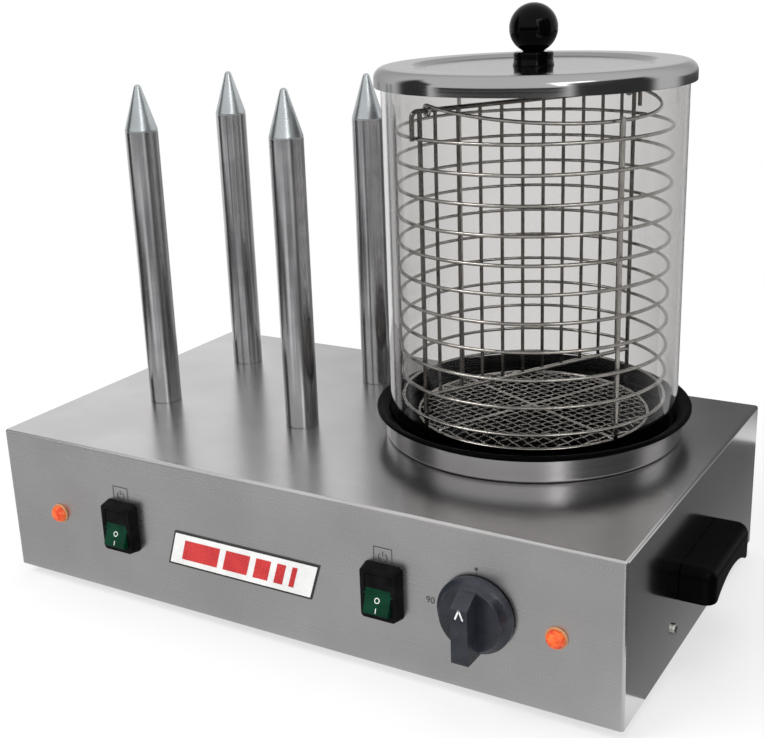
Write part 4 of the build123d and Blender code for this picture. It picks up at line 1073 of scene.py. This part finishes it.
# Inner works: heaters, thermostat, terminals, nuts and screws, closed in by the housing and the tray.
# Heaters and thermostat case are dull steel, contacts and bulb brass, and the fixings bright steel.
# The terminal block is a white moulding and the gland's locknut a black one.
HEATER_STEEL = grained(
    "heater_steel", (0.16, 0.15, 0.15), (0.26, 0.25, 0.24),
    metallic=1.0, rough=(0.4, 0.6), stretch=(500, 500, 500), cloud=80.0, relief=0.1,
)
CONTACT_BRASS = grained(
    "contact_brass", (0.55, 0.36, 0.13), (0.70, 0.50, 0.22),
    metallic=1.0, rough=(0.25, 0.4), stretch=(500, 500, 500), cloud=90.0,
)
for finish, members in (
    (HEATER_STEEL, ("spike_heaters", "dish_heater", "thermostat_body")),
    (CONTACT_BRASS, ("switch_terminals", "thermostat_bulb")),
    (MARK_WHITE, ("terminal_block",)),
    (FRAME_BLACK, ("gland_locknut",)),
    (
        SCREW_STEEL,
        (
            "foot_screws",
            "collar_screws",
            "thermostat_screws",
            "handle_screws",
            "spike_necks",
            "spike_nuts",
            "dish_clamp_bar",
            "dish_clamp_nut",
            "thermostat_shaft",
        ),
    ),
):
    for node in members:
        dress(node, finish)

# Studio: a white floor that keeps the object's shadow, a white surround and three soft area lamps.
# Grey cards lie and stand about the object and are seen only as mirrored in it.
# Of the lamps, the fill alone is mirrored.
def seen_ray(tree):
    """1 where a ray comes from the camera, or from it by way of metal or glass."""
    path = tree.nodes.new("ShaderNodeLightPath")
    mirrored = value_math(tree, "MAXIMUM")
    passed = value_math(tree, "MAXIMUM")
    link(path, "Is Camera Ray", mirrored, 0)
    link(path, "Is Glossy Ray", mirrored, 1)
    link(mirrored, 0, passed, 0)
    link(path, "Is Transmission Ray", passed, 1)
    return passed


FLOOR_SIDE, FLOOR_DROP = 12, 0.0005
SHADOW_REACH, SHADOW_SHARE = (0.30, 0.80), (0.60, 1.0)
clear_bench()
bpy.ops.mesh.primitive_plane_add(size=FLOOR_SIDE, location=(0, 0, -FLOOR_DROP))
floor = bpy.context.object
floor.name = "studio_floor"
FLOOR_WHITE = bpy.data.materials.new("floor_white")
FLOOR_WHITE.use_nodes = True
floor_tree = FLOOR_WHITE.node_tree
floor_shader = floor_tree.nodes["Principled BSDF"]
floor_shader.inputs["Base Color"].default_value = (0.85, 0.85, 0.85, 1)
floor_shader.inputs["Roughness"].default_value = 0.9
floor_glow = floor_tree.nodes.new("ShaderNodeEmission")
floor_mix = floor_tree.nodes.new("ShaderNodeMixShader")
floor_where = floor_tree.nodes.new("ShaderNodeTexCoord")
floor_reach = floor_tree.nodes.new("ShaderNodeVectorMath")
floor_reach.operation = "LENGTH"
floor_fade = value_range(floor_tree, SHADOW_REACH, SHADOW_SHARE, smooth=True)
link(floor_where, "Object", floor_reach, 0)
link(floor_reach, "Value", floor_fade, "Value")
floor_share = value_math(floor_tree, "MULTIPLY")
link(seen_ray(floor_tree), 0, floor_share, 0)
link(floor_fade, "Result", floor_share, 1)
link(floor_share, 0, floor_mix, 0)
link(floor_shader, 0, floor_mix, 1)
link(floor_glow, 0, floor_mix, 2)
link(floor_mix, 0, floor_tree.nodes["Material Output"], "Surface")
floor.data.materials.append(FLOOR_WHITE)

EVENLY, CARD_SOFT = (-0.5, 0.2), (0.34, 0.5)
for name, place, size, tilt, heading, shades, reach in (
    ("card_front", (-0.16, -0.320, 0.0007), (1.00, 0.46), 0, 0, (0.58, 0.54), EVENLY),
    ("card_left", (-0.95, -0.60, 0.0005), (1.50, 1.50), 0, 0, (0.05, 0.05), EVENLY),
    ("card_near", (0.50, -1.05, 0.0004), (1.20, 1.20), 0, 0, (0.05, 0.05), EVENLY),
    ("card_right", (0.85, -0.05, 0.0006), (1.60, 1.70), 0, 0, (0.14, 0.12), EVENLY),
    ("card_far_right", (1.60, -0.30, 0.60), (2.20, 1.80), 90, 90, (0.06, 0.06), EVENLY),
    ("card_far_left", (-1.60, -0.90, 0.60), (2.20, 1.80), 90, 55, (0.06, 0.06), EVENLY),
    ("card_far_front", (0.0, -2.40, 0.10), (6.00, 0.70), 90, 0, (0.05, 0.05), EVENLY),
    ("card_back", (0.05, 0.36, 0.19), (1.00, 0.40), 90, 0, (1.0, 0.15), (-0.47, 0.10)),
):
    clear_bench()
    bpy.ops.mesh.primitive_plane_add(
        size=1, location=place, rotation=(math.radians(tilt), 0, math.radians(heading))
    )
    card = bpy.context.object
    card.name = name
    card.scale = (size[0], size[1], 1)
    paper = bpy.data.materials.new(name)
    paper.use_nodes = True
    paper_tree = paper.node_tree
    paper_where = paper_tree.nodes.new("ShaderNodeTexCoord")
    paper_split = paper_tree.nodes.new("ShaderNodeSeparateXYZ")
    paper_shade = value_range(paper_tree, reach, shades)
    paper_glow = paper_tree.nodes.new("ShaderNodeEmission")
    paper_edge = value_math(paper_tree, "MAXIMUM")
    for axis, socket in (("X", 0), ("Y", 1)):
        paper_reach = value_math(paper_tree, "ABSOLUTE")
        link(paper_split, axis, paper_reach, 0)
        link(paper_reach, 0, paper_edge, socket)
    paper_fade = value_range(paper_tree, CARD_SOFT, smooth=True)
    paper_mix = paper_tree.nodes.new("ShaderNodeMix")
    paper_mix.inputs["B"].default_value = 1.0
    link(paper_where, "Object", paper_split, 0)
    link(paper_split, "X", paper_shade, "Value")
    link(paper_edge, 0, paper_fade, "Value")
    link(paper_fade, "Result", paper_mix, "Factor")
    link(paper_shade, "Result", paper_mix, "A")
    link(paper_mix, "Result", paper_glow, "Color")
    link(paper_glow, 0, paper_tree.nodes["Material Output"], "Surface")
    card.data.materials.append(paper)
    for ray in ("camera", "diffuse", "transmission", "shadow"):
        setattr(card, "visible_" + ray, False)

ROOM_LIGHT, ROOM_WHITE = 0.45, 1.0
world = bpy.data.worlds.new("studio")
bpy.context.scene.world = world
world.use_nodes = True
world_tree = world.node_tree
world_back = world_tree.nodes["Background"]
world_back.inputs["Color"].default_value = (1, 1, 1, 1)
world_level = value_range(world_tree, given=(ROOM_LIGHT, ROOM_WHITE))
link(seen_ray(world_tree), 0, world_level, "Value")
link(world_level, "Result", world_back, "Strength")

LAMPS_AIM = Vector((0, 0, 0.15))
for name, place, size, power in (
    ("lamp_key", (-1.2, -1.6, 2.2), 1.6, 55),
    ("lamp_fill", (1.8, -1.2, 1.4), 1.2, 14),
    ("lamp_top", (0.2, 0.6, 2.4), 1.6, 26),
):
    clear_bench()
    bpy.ops.object.light_add(type="AREA", location=place)
    lamp = bpy.context.object
    lamp.name = name
    lamp.data.size = size
    lamp.data.energy = power
    lamp.visible_glossy = name == "lamp_fill"
    lamp.rotation_euler = (LAMPS_AIM - Vector(place)).to_track_quat("-Z", "Y").to_euler()

# Camera: stands at the front right, a little above the lid, and looks down at the machine.
# It leans two degrees about its line of sight, and its lens is a little longer than a normal one.
AZIMUTH, ELEVATION, ROLL = math.radians(30.93), math.radians(18.13), math.radians(-2.06)
LENS, CAMERA_PLACE = 58.34, (0.4416, MIDDLE_Y - 0.7320, STAND + 0.4260)
back = Vector(
    (math.sin(AZIMUTH) * math.cos(ELEVATION), -math.cos(AZIMUTH) * math.cos(ELEVATION), math.sin(ELEVATION))
)
right = Vector((math.cos(AZIMUTH), math.sin(AZIMUTH), 0))
upright = back.cross(right)
right, upright = (
    right * math.cos(ROLL) + upright * math.sin(ROLL),
    upright * math.cos(ROLL) - right * math.sin(ROLL),
)
clear_bench()
bpy.ops.object.camera_add()
camera = bpy.context.object
camera.data.sensor_width = 36.0
camera.data.lens = LENS
camera_turn = Matrix((right, upright, back)).transposed().to_4x4()
camera.matrix_world = Matrix.Translation(CAMERA_PLACE) @ camera_turn
bpy.context.scene.camera = camera
bpy.context.scene.view_settings.view_transform = "Standard"
